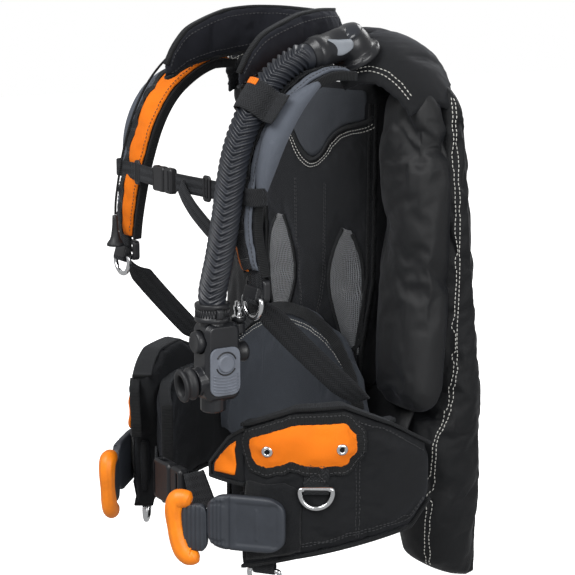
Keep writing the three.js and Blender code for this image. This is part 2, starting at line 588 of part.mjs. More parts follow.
piece("inflator_body", cut(
  join(
    inflatorSide(INFLATOR.front, INFLATOR.rear, INFLATOR.bottom, INFLATOR.top, 9, INFLATOR.x - INFLATOR.half,
      INFLATOR.x + INFLATOR.half, 4),
    aimed(turned([[0, 0], [13.5, 0], [13.5, 14], [0, 14]]), UP, aboutHose(-22 + GAP)),
    aimed(turned([[0, 0], [14.5, 0], [14, 12], [0, 12]]), mouthOut, V(INFLATOR.x, INFLATOR.front + 6, -76)),
    aimed(turned([[0, 0], [8, 0], [8, 10], [0, 10]], 14), UP, V(INFLATOR.x - 3, INFLATOR.rear + 6, -33)),
    aimed(turned([[0, 0], [11, 0], [13, 2], [13, 14], [0, 14]], 16), UP, aboutHose(INFLATOR.bottom - 12)),
  ),
  aimed(turned([[0, 0], [12, 0], [12, 10], [0, 10]], 16), FRONT, buttonAt.clone().add(V(0, 6, 0))),
  aimed(turned([[0, 0], [10.5, 0], [10.5, 12], [0, 12]]), REAR, deflateAt.clone().add(V(0, -7, 0))),
), BLACK_PLASTIC);
const clampProfile = [[14.6, 0], [17.6, 0], [18, 2], [18, 16], [17.4, 18], [14.6, 18], [14.6, 0]];
piece("hose_clamp", aimed(turned(clampProfile), UP, aboutHose(-17)), BLACK_PLASTIC);
piece("inflator_insert", join(
  inflatorSide(INFLATOR.front + 3, INFLATOR.rear - 3, -90, -42, 8, sidePlane + GAP, sidePlane + 3, 0),
  aimed(turned([[0, 0], [9, 0], [9, 2], [8, 3], [0, 3]], 16), V(1, 0, 0),
    V(sidePlane + 2, INFLATOR.rear - 19, -58)),
), GREY_RUBBER);
piece("inflate_button", aimed(turned([[0, 0], [11.4, 0], [11.4, 7], [9.5, 9], [0, 9.5]]), FRONT,
  buttonAt.clone().add(V(0, 2.8, 0))), BLACK_PLASTIC);
piece("deflate_button", aimed(turned([[0, 0], [9.9, 0], [9.9, 14], [8.5, 16], [0, 16.5]]), REAR,
  deflateAt.clone().add(V(0, -3.2, 0))), BLACK_PLASTIC);
const mouthProfile = [[9, 1], [14.2, 1], [15, 5], [13.5, 9], [15, 13], [15, 16], [11, 16], [9, 14], [9, 1]];
piece("mouthpiece", aimed(
  turned(mouthProfile, 16).scale(0.86, 1.1, 1), mouthOut, V(INFLATOR.x, INFLATOR.front - 6.4, -77.5),
), BLACK_PLASTIC);
const nippleProfile = [
  [0, 0], [6.5, 0], [6.5, 6], [4.2, 7], [4.2, 12], [5, 13], [5, 16], [3.6, 17], [3.6, 21], [0, 21],
];
const nippleFoot = V(INFLATOR.x - 3, INFLATOR.rear + 7.4, -23 + 2 * GAP);
piece("hose_nipple", aimed(turned(nippleProfile, 14), UP, nippleFoot), STEEL);

// ---------------------------------------------------------------- dump valves (right side)
function dumpValve(name, foot, out) {
  const lift = (d) => foot.clone().addScaledVector(out, d);
  const cup = [[0, 0], [23, 0], [24, 3], [24, 9], [21.4, 9], [21.4, 2.4], [0, 2.4]];
  piece(name + "_body", aimed(turned(cup, 16), out, foot), BLACK_PLASTIC, rightSide);
  const cap = [[0, 5.4], [17, 5.4], [17, 0], [20, 0], [20, 7], [16, 10], [0, 11]];
  piece(name + "_cap", aimed(turned(cap, 16), out, lift(9 + GAP)), BLACK_PLASTIC, rightSide);
}
const KNOB_HEIGHT = 34;
const knobProfile = [[0, KNOB_HEIGHT], [3, KNOB_HEIGHT], [3.4, 24], [5, 10], [9.5, 3], [9.5, 0], [0, 0]];
const pullKnob = turned(knobProfile, 12);
const knobUnder = (end) => pullKnob.clone().translate(end.x, end.y, end.z - KNOB_HEIGHT - GAP);
const valveFoot = V(116, -76, 246);
dumpValve("shoulder_valve", valveFoot, shoulderOut);
piece("shoulder_valve_disc", aimed(turned([[0, 0], [16, 0], [16, 2], [6, 4], [0, 4]], 12), shoulderOut,
  valveFoot.clone().addScaledVector(shoulderOut, 3)), GREY_RUBBER, rightSide);
const pullLine = curve([
  [117, -106, 254], [119, -126, 250], [122, -150, 240], [125, -174, 224], [127, -196, 199], [128, -214, 165],
  [129, -226, 128], [129, -233, 96], [127, -238, 72], [125, -240, 56],
]);
piece("shoulder_pull_cord", tube(pullLine, CORD.radius, 8, 24), WEBBING, rightSide);
piece("shoulder_pull_knob", knobUnder(pullLine.getPoint(1)), BLACK_PLASTIC, rightSide);

const rearFoot = V(150, 41, -205);
dumpValve("rear_valve", rearFoot, REAR);
const rearLine = curve([[150, 56, -227], [150, 58.5, -235], [150, 60, -248], [150, 60, -262]]);
const rearEnd = rearLine.getPoint(1);
piece("rear_pull_cord", tube(rearLine, CORD.radius, 8, 8), WEBBING, rightSide);
piece("rear_pull_knob", knobUnder(rearEnd), BLACK_PLASTIC, rightSide);

export default vest;
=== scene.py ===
# %% [markdown]
# # Diver's buoyancy vest: looks
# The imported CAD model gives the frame, in metres. Lengths in this script are written in millimetres and
# turned into metres where a mesh is made. +Z is up, the wearer faces -Y and the wearer's left is +X. Soft
# goods are rebuilt here as closed padded forms with panels, bindings and stitching laid on their surfaces.

# %% Set-up
import json
import math

import bmesh
import bpy
import numpy as np
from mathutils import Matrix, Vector
from mathutils.bvhtree import BVHTree

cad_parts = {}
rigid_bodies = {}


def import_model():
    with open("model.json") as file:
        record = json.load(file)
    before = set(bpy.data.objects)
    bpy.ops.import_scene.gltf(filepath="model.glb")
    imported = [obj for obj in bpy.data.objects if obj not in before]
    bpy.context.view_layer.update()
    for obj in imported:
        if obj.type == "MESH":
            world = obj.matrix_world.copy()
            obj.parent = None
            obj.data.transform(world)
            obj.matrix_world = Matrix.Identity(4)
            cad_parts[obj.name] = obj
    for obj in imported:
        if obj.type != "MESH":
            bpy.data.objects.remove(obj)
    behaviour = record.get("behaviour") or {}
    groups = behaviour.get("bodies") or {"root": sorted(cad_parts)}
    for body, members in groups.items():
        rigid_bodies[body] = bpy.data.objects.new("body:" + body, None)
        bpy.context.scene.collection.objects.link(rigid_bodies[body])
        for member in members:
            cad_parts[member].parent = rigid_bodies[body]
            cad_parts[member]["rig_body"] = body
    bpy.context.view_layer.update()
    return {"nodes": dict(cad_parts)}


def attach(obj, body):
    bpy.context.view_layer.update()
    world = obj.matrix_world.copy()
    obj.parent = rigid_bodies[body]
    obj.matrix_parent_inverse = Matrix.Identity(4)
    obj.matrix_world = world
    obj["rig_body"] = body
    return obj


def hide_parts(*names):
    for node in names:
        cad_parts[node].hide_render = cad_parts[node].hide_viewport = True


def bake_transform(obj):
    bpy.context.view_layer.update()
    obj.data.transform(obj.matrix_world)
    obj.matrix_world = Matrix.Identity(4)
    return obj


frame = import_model()
nodes = frame["nodes"]
MM = 0.001
LEFT, RIGHT = 1, -1
SIDE_NAME = {LEFT: "left", RIGHT: "right"}
UP = np.array([0, 0, 1.0])

# %% [markdown]
# ## Camera and light
# A long lens from the wearer's left front, and three large soft lights in a white surround. The surround
# lights the vest with `SURROUND` of its full strength, and the camera sees it as plain white.

# %% Camera and light
scene = bpy.context.scene
AZIMUTH, ELEVATION, DISTANCE = math.radians(58), math.radians(11), 1.9
TARGET = Vector((0, -0.095, -0.020))
LENS, SENSOR = 109.06, 36
SURROUND = 0.42
toward_camera = Vector((
    math.sin(AZIMUTH) * math.cos(ELEVATION),
    -math.cos(AZIMUTH) * math.cos(ELEVATION),
    math.sin(ELEVATION),
))
camera_data = bpy.data.cameras.new("camera")
camera_data.lens = LENS
camera_data.sensor_width = SENSOR
camera = bpy.data.objects.new("camera", camera_data)
scene.collection.objects.link(camera)
camera.location = TARGET + DISTANCE * toward_camera
camera.rotation_euler = (-toward_camera).to_track_quat("-Z", "Y").to_euler()
scene.camera = camera
scene.view_settings.view_transform = "Standard"


def area_light(name, place, size, power, colour=(1, 1, 1)):
    """A square soft light that looks at the middle of the vest."""
    data = bpy.data.lights.new(name, "AREA")
    data.size = size
    data.energy = power
    data.color = colour
    light = bpy.data.objects.new(name, data)
    scene.collection.objects.link(light)
    light.location = place
    light.rotation_euler = (Vector(place) - TARGET).to_track_quat("Z", "Y").to_euler()


area_light("key", (0.5, -2.0, 1.9), 1.6, 60)
area_light("side", (2.2, -0.2, 0.7), 1.2, 30)
area_light("back", (-0.6, 1.8, 1.4), 1.2, 22)
world = bpy.data.worlds.new("surround")
scene.world = world
world.use_nodes = True
surround = world.node_tree.nodes["Background"]
surround.inputs["Color"].default_value = (1, 1, 1, 1)
surround.inputs["Strength"].default_value = SURROUND
seen = world.node_tree.nodes.new("ShaderNodeBackground")
seen.inputs["Color"].default_value = (1, 1, 1, 1)
rays = world.node_tree.nodes.new("ShaderNodeLightPath")
both = world.node_tree.nodes.new("ShaderNodeMixShader")
world.node_tree.links.new(rays.outputs["Is Camera Ray"], both.inputs[0])
world.node_tree.links.new(surround.outputs[0], both.inputs[1])
world.node_tree.links.new(seen.outputs[0], both.inputs[2])
world.node_tree.links.new(both.outputs[0], world.node_tree.nodes["World Output"].inputs["Surface"])
print("camera at", tuple(round(c, 3) for c in camera.location))

# %% [markdown]
# ## Curves and meshes
# Every new piece is a grid of points worked out with numpy and turned into a mesh. Its path comes from a
# smooth curve.


# %% Curve helpers
def unit(v):
    """The same vectors with length one, along the last axis."""
    v = np.asarray(v, float)
    return v / np.maximum(np.linalg.norm(v, axis=-1, keepdims=True), 1e-9)


def spline(points, count):
    """Evenly spaced points on the Catmull-Rom curve through the given points.
    Between b and c it is (2b + (c-a)t + (2a-5b+4c-d)t^2 + (3b-a-3c+d)t^3) / 2, with a and d the points
    next to them."""
    p = np.asarray(points, float)
    p = np.vstack([2 * p[0] - p[1], p, 2 * p[-1] - p[-2]])
    t = np.linspace(0, 1, 24, endpoint=False)[:, None]
    runs = []
    for a, b, c, d in zip(p[:-3], p[1:-2], p[2:-1], p[3:]):
        square, cube = 2 * a - 5 * b + 4 * c - d, 3 * b - a - 3 * c + d
        runs.append(0.5 * (2 * b + (c - a) * t + square * t**2 + cube * t**3))
    return resample(np.vstack(runs + [p[-2:-1]]), count)


def resample(path, count):
    """The same polyline with evenly spaced points."""
    s = lengths(path)
    want = np.linspace(0, s[-1], count)
    return np.stack([np.interp(want, s, path[:, k]) for k in range(path.shape[1])], 1)


def lengths(path):
    """Distance run along a polyline up to each of its points."""
    return np.r_[0, np.cumsum(np.linalg.norm(np.diff(path, axis=0), axis=1))]


def along(path):
    """Direction of travel at each point of a polyline."""
    return unit(np.gradient(path, axis=0))


def carried(path, first):
    """A sideways direction carried along a path without twist, starting from `first`."""
    t = along(path)
    out = [unit(first - t[0] * np.dot(first, t[0]))]
    for d in t[1:]:
        v = out[-1] - d * np.dot(out[-1], d)
        out.append(unit(v))
    return np.array(out)


# %% [markdown]
# ### Meshes
# A loft skins rings of points: tubes, turned pieces and webbing are lofts. A slab is a padded sheet over a
# grid. Their texture coordinates are in metres.


# %% Mesh helpers
def mesh_object(name, verts, faces, uvs=None, side=LEFT, smooth=True):
    """A mesh from points in millimetres. Side -1 mirrors it in X and turns its faces to match."""
    verts = np.array(verts, float) * MM
    if side < 0:
        verts[:, 0] *= -1
        faces = [tuple(reversed(f)) for f in faces]
        uvs = None if uvs is None else [list(reversed(u)) for u in uvs]
    mesh = bpy.data.meshes.new(name)
    mesh.from_pydata(verts.tolist(), [], [tuple(int(i) for i in f) for f in faces])
    if uvs is not None:
        layer = mesh.uv_layers.new(name="metres")
        layer.data.foreach_set("uv", np.array([c for u in uvs for c in u], np.float32).ravel() * MM)
    mesh.validate()
    mesh.polygons.foreach_set("use_smooth", [smooth] * len(mesh.polygons))
    mesh.update()
    obj = bpy.data.objects.new(name, mesh)
    scene.collection.objects.link(obj)
    return obj


def facing_out(obj):
    """Turns the faces of a closed mesh outward."""
    b = bmesh.new()
    b.from_mesh(obj.data)
    if b.calc_volume(signed=True) < 0:
        bmesh.ops.reverse_faces(b, faces=b.faces)
    b.to_mesh(obj.data)
    b.free()
    return obj


def loft(name, rings, side=LEFT, closed=False, smooth=True):
    """A skin over rings of points, one ring after another, closed with a point at each end unless it's a
    loop.
    Texture coordinates run round the ring and along the path, in metres."""
    rings = np.asarray(rings, float)
    m, k, _ = rings.shape
    loop = np.concatenate([rings, rings[:, :1]], 1)
    steps = np.linalg.norm(np.diff(loop, axis=1), axis=2)
    around = np.concatenate([np.zeros((m, 1)), np.cumsum(steps, 1)], 1)
    middle = rings.mean(1)
    down = lengths(np.vstack([middle, middle[:1]]) if closed else middle)
    verts = rings.reshape(-1, 3).tolist()
    faces, uvs = [], []
    for i in range(m if closed else m - 1):
        i2 = (i + 1) % m
        for j in range(k):
            j2 = (j + 1) % k
            faces.append((i * k + j, i * k + j2, i2 * k + j2, i2 * k + j))
            uvs.append([(around[i, j], down[i]), (around[i, j + 1], down[i]),
                        (around[i2, j + 1], down[i + 1]), (around[i2, j], down[i + 1])])
    if not closed:
        for i, flip in ((0, True), (m - 1, False)):
            verts.append(middle[i].tolist())
            c = len(verts) - 1
            for j in range(k):
                j2 = (j + 1) % k
                f = (i * k + j, i * k + j2, c)
                u = [(around[i, j], down[i]), (around[i, j + 1], down[i]), (around[i, j], down[i])]
                faces.append(tuple(reversed(f)) if flip else f)
                uvs.append(list(reversed(u)) if flip else u)
    return facing_out(mesh_object(name, verts, faces, uvs, side, smooth))


def tube(name, path, radius, side=LEFT, sides=16):
    """A round tube along a path; radius may change from point to point."""
    path = np.asarray(path, float)
    r = np.broadcast_to(radius, len(path))
    t = along(path)
    first = np.array([0, 0, 1.0]) if abs(t[0][2]) < 0.9 else np.array([1.0, 0, 0])
    a = carried(path, first)
    b = np.cross(t, a)
    th = np.linspace(0, 2 * np.pi, sides, endpoint=False)
    ring = np.cos(th)[None, :, None] * a[:, None] + np.sin(th)[None, :, None] * b[:, None]
    return loft(name, path[:, None] + ring * r[:, None, None], side)


def lathe(name, profile, place, out, side=LEFT, sides=48):
    """A turned piece: profile is radius and height pairs along the direction `out` from `place`."""
    out = unit(out)
    a = unit(np.cross(out, [0.3, 0.2, 1.0] if abs(out[2]) < 0.9 else [1.0, 0, 0]))
    b = np.cross(out, a)
    th = np.linspace(0, 2 * np.pi, sides, endpoint=False)
    rim = np.cos(th)[:, None] * a + np.sin(th)[:, None] * b
    rings = [np.asarray(place, float) + rim * max(r, 0.02) + out * h for r, h in profile]
    return loft(name, rings, side)


def ribbon(name, path, normals, width, thick, side=LEFT):
    """Flat webbing along a path, with rounded selvedges; `normals` point out of its face."""
    path = np.asarray(path, float)
    n = unit(np.broadcast_to(normals, path.shape))
    t = along(path)
    across = unit(np.cross(t, n))
    n = unit(np.cross(across, t))
    w = np.broadcast_to(width, len(path))[:, None, None] / 2
    h = thick / 2
    x = np.array([-1, -0.97, -0.8, -0.4, 0, 0.4, 0.8, 0.97, 1, 0.97, 0.8, 0.4, 0, -0.4, -0.8, -0.97])
    y = np.array([0, 0.8, 1, 1, 1, 1, 1, 0.8, 0, -0.8, -1, -1, -1, -1, -1, -0.8])
    rings = path[:, None] + across[:, None] * x[None, :, None] * w + n[:, None] * (y * h)[None, :, None]
    return loft(name, rings, side)


def slab(name, points, normals, thick, side=LEFT, rim=0.35, power=4):
    """A padded sheet over a grid of middle points: full thickness inside, rounding down to `rim` at its
    edges."""
    p = np.asarray(points, float)
    m, n, _ = p.shape
    a = np.linspace(-1, 1, m)[:, None]
    b = np.linspace(-1, 1, n)[None, :]
    swell = rim + (1 - rim) * np.sqrt(np.clip((1 - np.abs(a) ** power) * (1 - np.abs(b) ** power), 0, 1))
    half = (swell * np.asarray(thick) / 2)[..., None]
    front, back = p + normals * half, p - normals * half
    s1 = np.r_[0, np.cumsum(np.linalg.norm(np.diff(p, axis=0), axis=2).mean(1))]
    steps = np.linalg.norm(np.diff(p, axis=1), axis=2)
    s2 = np.concatenate([np.zeros((m, 1)), np.cumsum(steps, 1)], 1)
    verts = np.vstack([front.reshape(-1, 3), back.reshape(-1, 3)])
    faces, uvs = [], []

    def uv(i, j):
        """Texture coordinates of a point of the grid."""
        return s2[i, j], s1[i]

    for i in range(m - 1):
        for j in range(n - 1):
            q = [(i, j), (i, j + 1), (i + 1, j + 1), (i + 1, j)]
            faces.append([x * n + y for x, y in q])
            uvs.append([uv(*c) for c in q])
            faces.append([m * n + x * n + y for x, y in reversed(q)])
            uvs.append([uv(*c) for c in reversed(q)])
    rimloop = [(0, j) for j in range(n)] + [(i, n - 1) for i in range(1, m)]
    rimloop += [(m - 1, j) for j in range(n - 2, -1, -1)] + [(i, 0) for i in range(m - 2, 0, -1)]
    for c, d in zip(rimloop, rimloop[1:] + rimloop[:1]):
        ci, di = c[0] * n + c[1], d[0] * n + d[1]
        faces.append([di, ci, m * n + ci, m * n + di])
        uvs.append([uv(*d), uv(*c), uv(*c), uv(*d)])
    return facing_out(mesh_object(name, verts, faces, uvs, side))


def grid_normals(p):
    """Unit normals of a grid of points."""
    return unit(np.cross(np.gradient(p, axis=0), np.gradient(p, axis=1)))


# %% [markdown]
# ## Laying things on a surface
# A `Skin` finds the nearest place on a finished mesh, so that panels, bindings and stitches lie on it.


# %% Skin, patches and stitches
class Skin:
    """The surface of a finished left-side or middle piece, asked for in millimetres."""

    def __init__(self, obj):
        deps = bpy.context.evaluated_depsgraph_get()
        mesh = obj.evaluated_get(deps).to_mesh()
        places = [v.co / MM for v in mesh.vertices]
        self.tree = BVHTree.FromPolygons(places, [tuple(p.vertices) for p in mesh.polygons])
        obj.evaluated_get(deps).to_mesh_clear()

    def lay(self, points, lift=0.0, ease=2):
        """Points moved on to the surface and out by `lift`, with the surface's directions there, eased."""
        shape = np.shape(points)
        where, out = [], []
        for q in np.reshape(points, (-1, 3)):
            at, normal, _, _ = self.tree.find_nearest(Vector(q))
            where.append(tuple(at))
            out.append(tuple(normal))
        where, out = np.reshape(where, shape), np.reshape(out, shape)
        for _ in range(ease):
            for axis in range(len(shape) - 1):
                if shape[axis] > 2:
                    before = np.roll(out, 1, axis) * edge_mask(shape, axis, 0)
                    after = np.roll(out, -1, axis) * edge_mask(shape, axis, -1)
                    out = unit(out + before + after)
        return where + out * lift, out


def edge_mask(shape, axis, end):
    """One everywhere but at one end of an axis, where a roll would wrap round."""
    mask = np.ones(shape[:-1] + (1,))
    index = [slice(None)] * len(shape)
    index[axis] = end
    mask[tuple(index)] = 0
    return mask


def between(low, high, m, n):
    """A grid from one edge line to another, both given as points."""
    low, high = resample(np.asarray(low, float), n), resample(np.asarray(high, float), n)
    f = np.linspace(0, 1, m)[:, None, None]
    return low[None] * (1 - f) + high[None] * f


PATCH_SINK, TAPE_SINK = 0.4, 0.3


def patch(name, skin, grid, thick, lift=0.0, side=LEFT, rim=0.3):
    """A thin padded panel that lies on a skin, sunk in a little so that no gap shows."""
    p, n = skin.lay(grid, thick / 2 + lift - PATCH_SINK)
    facing = np.sign((n * grid_normals(p)).sum(-1, keepdims=True).mean())
    return slab(name, p, n * facing, thick, side, rim, 8)


def tape(name, skin, path, width, thick, lift=0.0, side=LEFT, count=None):
    """A flat tape or binding that lies on a skin along a path."""
    p = spline(path, count or max(8, int(lengths(np.asarray(path, float))[-1] / 4)))
    p, n = skin.lay(p, thick / 2 + lift - TAPE_SINK)
    return ribbon(name, p, n, width, thick, side)


STITCH = ((0.7, -0.42), (1, -0.15), (1, 0.15), (0.7, 0.42))
STITCH_SIDES = 6


def stitches(name, rows, side=LEFT, pitch=4.2, long=2.9, wide=0.85):
    """Sewn thread: short rounded stitches along rows of (points, normals). STITCH gives each ring's share
    of the
    width and its place along the stitch."""
    verts, faces = [], []
    for path, normals in rows:
        s = lengths(path)
        spots = np.arange(pitch / 2, s[-1], pitch)
        if not len(spots):
            continue
        at = np.stack([np.interp(spots, s, path[:, k]) for k in range(3)], 1)
        n = unit(np.stack([np.interp(spots, s, normals[:, k]) for k in range(3)], 1))
        t = unit(np.stack([np.interp(spots, s, along(path)[:, k]) for k in range(3)], 1))
        b = unit(np.cross(t, n))
        for c, nn, tt, bb in zip(at, n, t, b):
            base = len(verts)
            for r, z in STITCH:
                for q in range(STITCH_SIDES):
                    angle = q * math.pi / 3
                    turned = bb * math.cos(angle) + nn * math.sin(angle)
                    verts.append(c + tt * z * long + turned * r * wide / 2)
            verts.append(c - tt * long / 2)
            verts.append(c + tt * long / 2)
            head, tail = base + 24, base + 25
            for q in range(STITCH_SIDES):
                q2 = (q + 1) % STITCH_SIDES
                for ring in (base, base + 6, base + 12):
                    faces.append((ring + q, ring + q2, ring + 6 + q2, ring + 6 + q))
                faces.append((base + q2, base + q, head))
                faces.append((base + 18 + q, base + 18 + q2, tail))
    return mesh_object(name, np.array(verts), faces, None, side)


def rows_on(skin, path, offsets, lift=0.25, count=None):
    """Stitch rows beside a path on a skin, one for each sideways offset."""
    p = spline(path, count or max(12, int(lengths(np.asarray(path, float))[-1] / 3)))
    _, n = skin.lay(p)
    across = unit(np.cross(along(p), n))
    return [skin.lay(p + across * o, lift) for o in offsets]


# %% [markdown]
# ## Moulded pieces from their CAD shape
# A copy of a CAD node, rebuilt with small voxels and eased, gives a moulding with soft edges.


# %% Moulded copies
def bake(obj):
    """Replaces a mesh by what its modifiers make of it."""
    deps = bpy.context.evaluated_depsgraph_get()
    mesh = bpy.data.meshes.new_from_object(obj.evaluated_get(deps))
    obj.modifiers.clear()
    old = obj.data
    obj.data = mesh
    bpy.data.meshes.remove(old)
    mesh.polygons.foreach_set("use_smooth", [True] * len(mesh.polygons))
    return obj


def remesh(obj, voxel, ease=0):
    """Voxel remesh, in millimetres, with some smoothing steps after it."""
    mod = obj.modifiers.new("voxels", "REMESH")
    mod.mode = "VOXEL"
    mod.voxel_size = voxel * MM
    if ease:
        soft = obj.modifiers.new("ease", "SMOOTH")
        soft.iterations = ease
        soft.factor = 0.5
    return bake(obj)


def moulded(name, node, voxel, ease, material):
    """A moulded copy of a CAD node, with its material and body."""
    b = bmesh.new()
    b.from_mesh(nodes[node].data)
    bmesh.ops.remove_doubles(b, verts=b.verts, dist=1e-6)
    mesh = bpy.data.meshes.new(name)
    b.to_mesh(mesh)
    b.free()
    obj = bpy.data.objects.new(name, mesh)
    scene.collection.objects.link(obj)
    remesh(obj, voxel, ease)
    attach(obj, nodes[node]["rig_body"])
    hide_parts(node)
    obj.data.materials.append(material)
    return obj


# %% [markdown]
# ## Cloth
# Padded pieces are swollen by a short cloth simulation: the seams are pinned and the fabric between them is
# a little larger than its place, so it puffs and creases as sewn padding does.


# %% Cloth simulation
def puff(obj, voxel, pressure, cap, frames, spare, pins, reach):
    """Remesh, swell with pinned seams, cap the movement and apply it. Sizes in millimetres: `cap` is the
    most that a
    point moves, and points nearer than `reach` to a seam are held. `spare` is the share of extra cloth."""
    remesh(obj, voxel)
    rest = np.array([v.co for v in obj.data.vertices])
    seam = np.vstack(pins) * MM
    far = np.min(np.linalg.norm(rest[:, None] - seam[None], axis=2), 1)
    group = obj.vertex_groups.new(name="pinned")
    for i in np.nonzero(far < reach * MM)[0]:
        group.add([int(i)], float(1 - far[i] / (reach * MM)) ** 0.5, "REPLACE")
    mod = obj.modifiers.new("cloth", "CLOTH")
    s = mod.settings
    s.quality = 5
    s.mass = 0.3
    s.tension_stiffness = 15
    s.compression_stiffness = 15
    s.shear_stiffness = 5
    s.bending_stiffness = 0.1
    s.shrink_min = -spare
    s.use_pressure = True
    s.uniform_pressure_force = pressure
    s.effector_weights.gravity = 0
    s.vertex_group_mass = "pinned"
    mod.point_cache.frame_start, mod.point_cache.frame_end = 1, frames
    for f in range(1, frames + 1):
        scene.frame_set(f)
    deps = bpy.context.evaluated_depsgraph_get()
    moved = np.array([v.co for v in obj.evaluated_get(deps).data.vertices])
    obj.modifiers.clear()
    obj.vertex_groups.clear()
    scene.frame_set(1)
    step = moved - rest
    far = np.linalg.norm(step, axis=1, keepdims=True)
    step *= np.minimum(1, cap * MM / np.maximum(far, 1e-9)) * 0.95
    obj.data.vertices.foreach_set("co", (rest + step).astype(np.float32).ravel())
    obj.data.update()
    mod = obj.modifiers.new("fine", "SUBSURF")
    mod.levels = mod.render_levels = 1
    return bake(obj)


def mirrored(obj, name):
    """The same finished mesh for the other side."""
    mesh = obj.data.copy()
    mesh.name = name
    co = np.zeros(len(mesh.vertices) * 3, np.float32)
    mesh.vertices.foreach_get("co", co)
    co[0::3] *= -1
    mesh.vertices.foreach_set("co", co)
    mesh.flip_normals()
    other = bpy.data.objects.new(name, mesh)
    scene.collection.objects.link(other)
    return other


# %% [markdown]
# ## Materials
# Woven, knitted, rubber, plastic and steel finishes from procedural nodes. Patterns run in metres, on a
# piece's own texture coordinates where it has them and on object coordinates where it was simulated.


# %% Node helpers
def srgb(r, g, b):
    """Linear colour from eight-bit screen values."""
    def one(c):
        c /= 255
        return c / 12.92 if c <= 0.04045 else ((c + 0.055) / 1.055) ** 2.4
    return (one(r), one(g), one(b), 1)


class Paint:
    """A material under construction: a Principled shader and short calls that add nodes to it."""

    def __init__(self, name, rough=0.6, metallic=0.0, sheen=0.0, coat=0.0, sheen_tint=(1, 1, 1, 1),
        specular=0.5):
        self.material = bpy.data.materials.new(name)
        self.material.use_nodes = True
        self.tree = self.material.node_tree
        self.shader = self.tree.nodes["Principled BSDF"]
        for key, value in (("Roughness", rough), ("Metallic", metallic), ("Sheen Weight", sheen),
            ("Sheen Roughness", 0.45),
                           ("Sheen Tint", sheen_tint), ("Coat Weight", coat), ("Coat Roughness", 0.25),
                           ("Specular IOR Level", specular)):
            self.shader.inputs[key].default_value = value
        self.heights = []

    def node(self, kind, **values):
        """A node with some of its inputs or properties set."""
        n = self.tree.nodes.new(kind)
        for key, value in values.items():
            if key in n.inputs:
                n.inputs[key].default_value = value
            else:
                setattr(n, key, value)
        return n

    def link(self, a, b):
        """Joins an output to an input."""
        self.tree.links.new(a, b)

    def math(self, operation, a, b=None, c=None):
        """One math node on values or outputs."""
        n = self.tree.nodes.new("ShaderNodeMath")
        n.operation = operation
        for socket, value in zip(n.inputs, (a, b, c)):
            if value is None:
                continue
            if isinstance(value, (int, float)):
                socket.default_value = value
            else:
                self.link(value, socket)
        return n.outputs[0]

    def across_and_along(self, uv):
        """Two coordinates in metres: across the cloth and along it."""
        texture = self.node("ShaderNodeTexCoord")
        parts = self.node("ShaderNodeSeparateXYZ")
        self.link(texture.outputs["UV" if uv else "Object"], parts.inputs[0])
        if uv:
            return parts.outputs[0], parts.outputs[1]
        return self.math("ADD", parts.outputs[0], parts.outputs[1]), parts.outputs[2]

    def noise(self, scale, detail=3.0, rough=0.55, stretch=None):
        """Soft noise from 0 to 1 in object space; scale counts blobs per metre."""
        texture = self.node("ShaderNodeTexCoord")
        out = texture.outputs["Object"]
        if stretch:
            mapping = self.node("ShaderNodeMapping")
            mapping.inputs["Scale"].default_value = stretch
            self.link(out, mapping.inputs["Vector"])
            out = mapping.outputs[0]
        n = self.node("ShaderNodeTexNoise")
        n.inputs["Scale"].default_value = scale
        n.inputs["Detail"].default_value = detail
        n.inputs["Roughness"].default_value = rough
        self.link(out, n.inputs["Vector"])
        return n.outputs[0]

    def colour(self, stops, factor):
        """Base colour from a ramp; stops are (position, colour)."""
        ramp = self.node("ShaderNodeValToRGB")
        while len(ramp.color_ramp.elements) < len(stops):
            ramp.color_ramp.elements.new(0.5)
        for element, (place, value) in zip(ramp.color_ramp.elements, stops):
            element.position, element.color = place, value
        self.link(factor, ramp.inputs[0])
        return ramp.outputs[0]

    def base(self, output):
        """Wires a colour into the shader."""
        self.link(output, self.shader.inputs["Base Color"])

    def roughness(self, factor, low, high):
        """Roughness from low to high with a factor."""
        n = self.node("ShaderNodeMapRange")
        n.inputs["To Min"].default_value, n.inputs["To Max"].default_value = low, high
        self.link(factor, n.inputs[0])
        self.link(n.outputs[0], self.shader.inputs["Roughness"])

    def bump(self, height, depth, strength=1.0):
        """Adds a bump of the given depth, in millimetres, on top of the ones before it."""
        n = self.node("ShaderNodeBump")
        n.inputs["Distance"].default_value = depth * MM
        n.inputs["Strength"].default_value = strength
        self.link(height, n.inputs["Height"])
        if self.heights:
            self.link(self.heights[-1].outputs[0], n.inputs["Normal"])
        self.heights.append(n)
        self.link(n.outputs[0], self.shader.inputs["Normal"])

    def weave(self, pitch, uv=True):
        """Plain weave, from 0 to 1: (1 + sin(2 pi a / pitch) sin(2 pi b / pitch)) / 2."""
        a, b = self.across_and_along(uv)
        k = 2 * math.pi / (pitch * MM)
        warp, weft = (self.math("SINE", self.math("MULTIPLY", c, k)) for c in (a, b))
        return self.math("MULTIPLY_ADD", self.math("MULTIPLY", warp, weft), 0.5, 0.5)

    def ribs(self, pitch, slant=0.0, uv=True):
        """Ribs across the piece, drawn into chevrons by slant."""
        a, b = self.across_and_along(uv)
        fold = self.math("PINGPONG", a, 0.004)
        run = self.math("MULTIPLY_ADD", fold, slant, b)
        wave = self.math("SINE", self.math("MULTIPLY", run, 2 * math.pi / (pitch * MM)))
        return self.math("MULTIPLY_ADD", wave, 0.5, 0.5)


def mixed(paint, a, b, factor):
    """Two colours or colour outputs mixed by a factor."""
    n = paint.node("ShaderNodeMix", data_type="RGBA")
    for socket, value in ((n.inputs[6], a), (n.inputs[7], b)):
        if isinstance(value, tuple):
            socket.default_value = value
        else:
            paint.link(value, socket)
    paint.link(factor, n.inputs[0])
    return n.outputs[2]


def scaled(colour, k):
    """A colour made lighter or darker."""
    return tuple(min(1.0, c * k) for c in colour[:3]) + (1,)


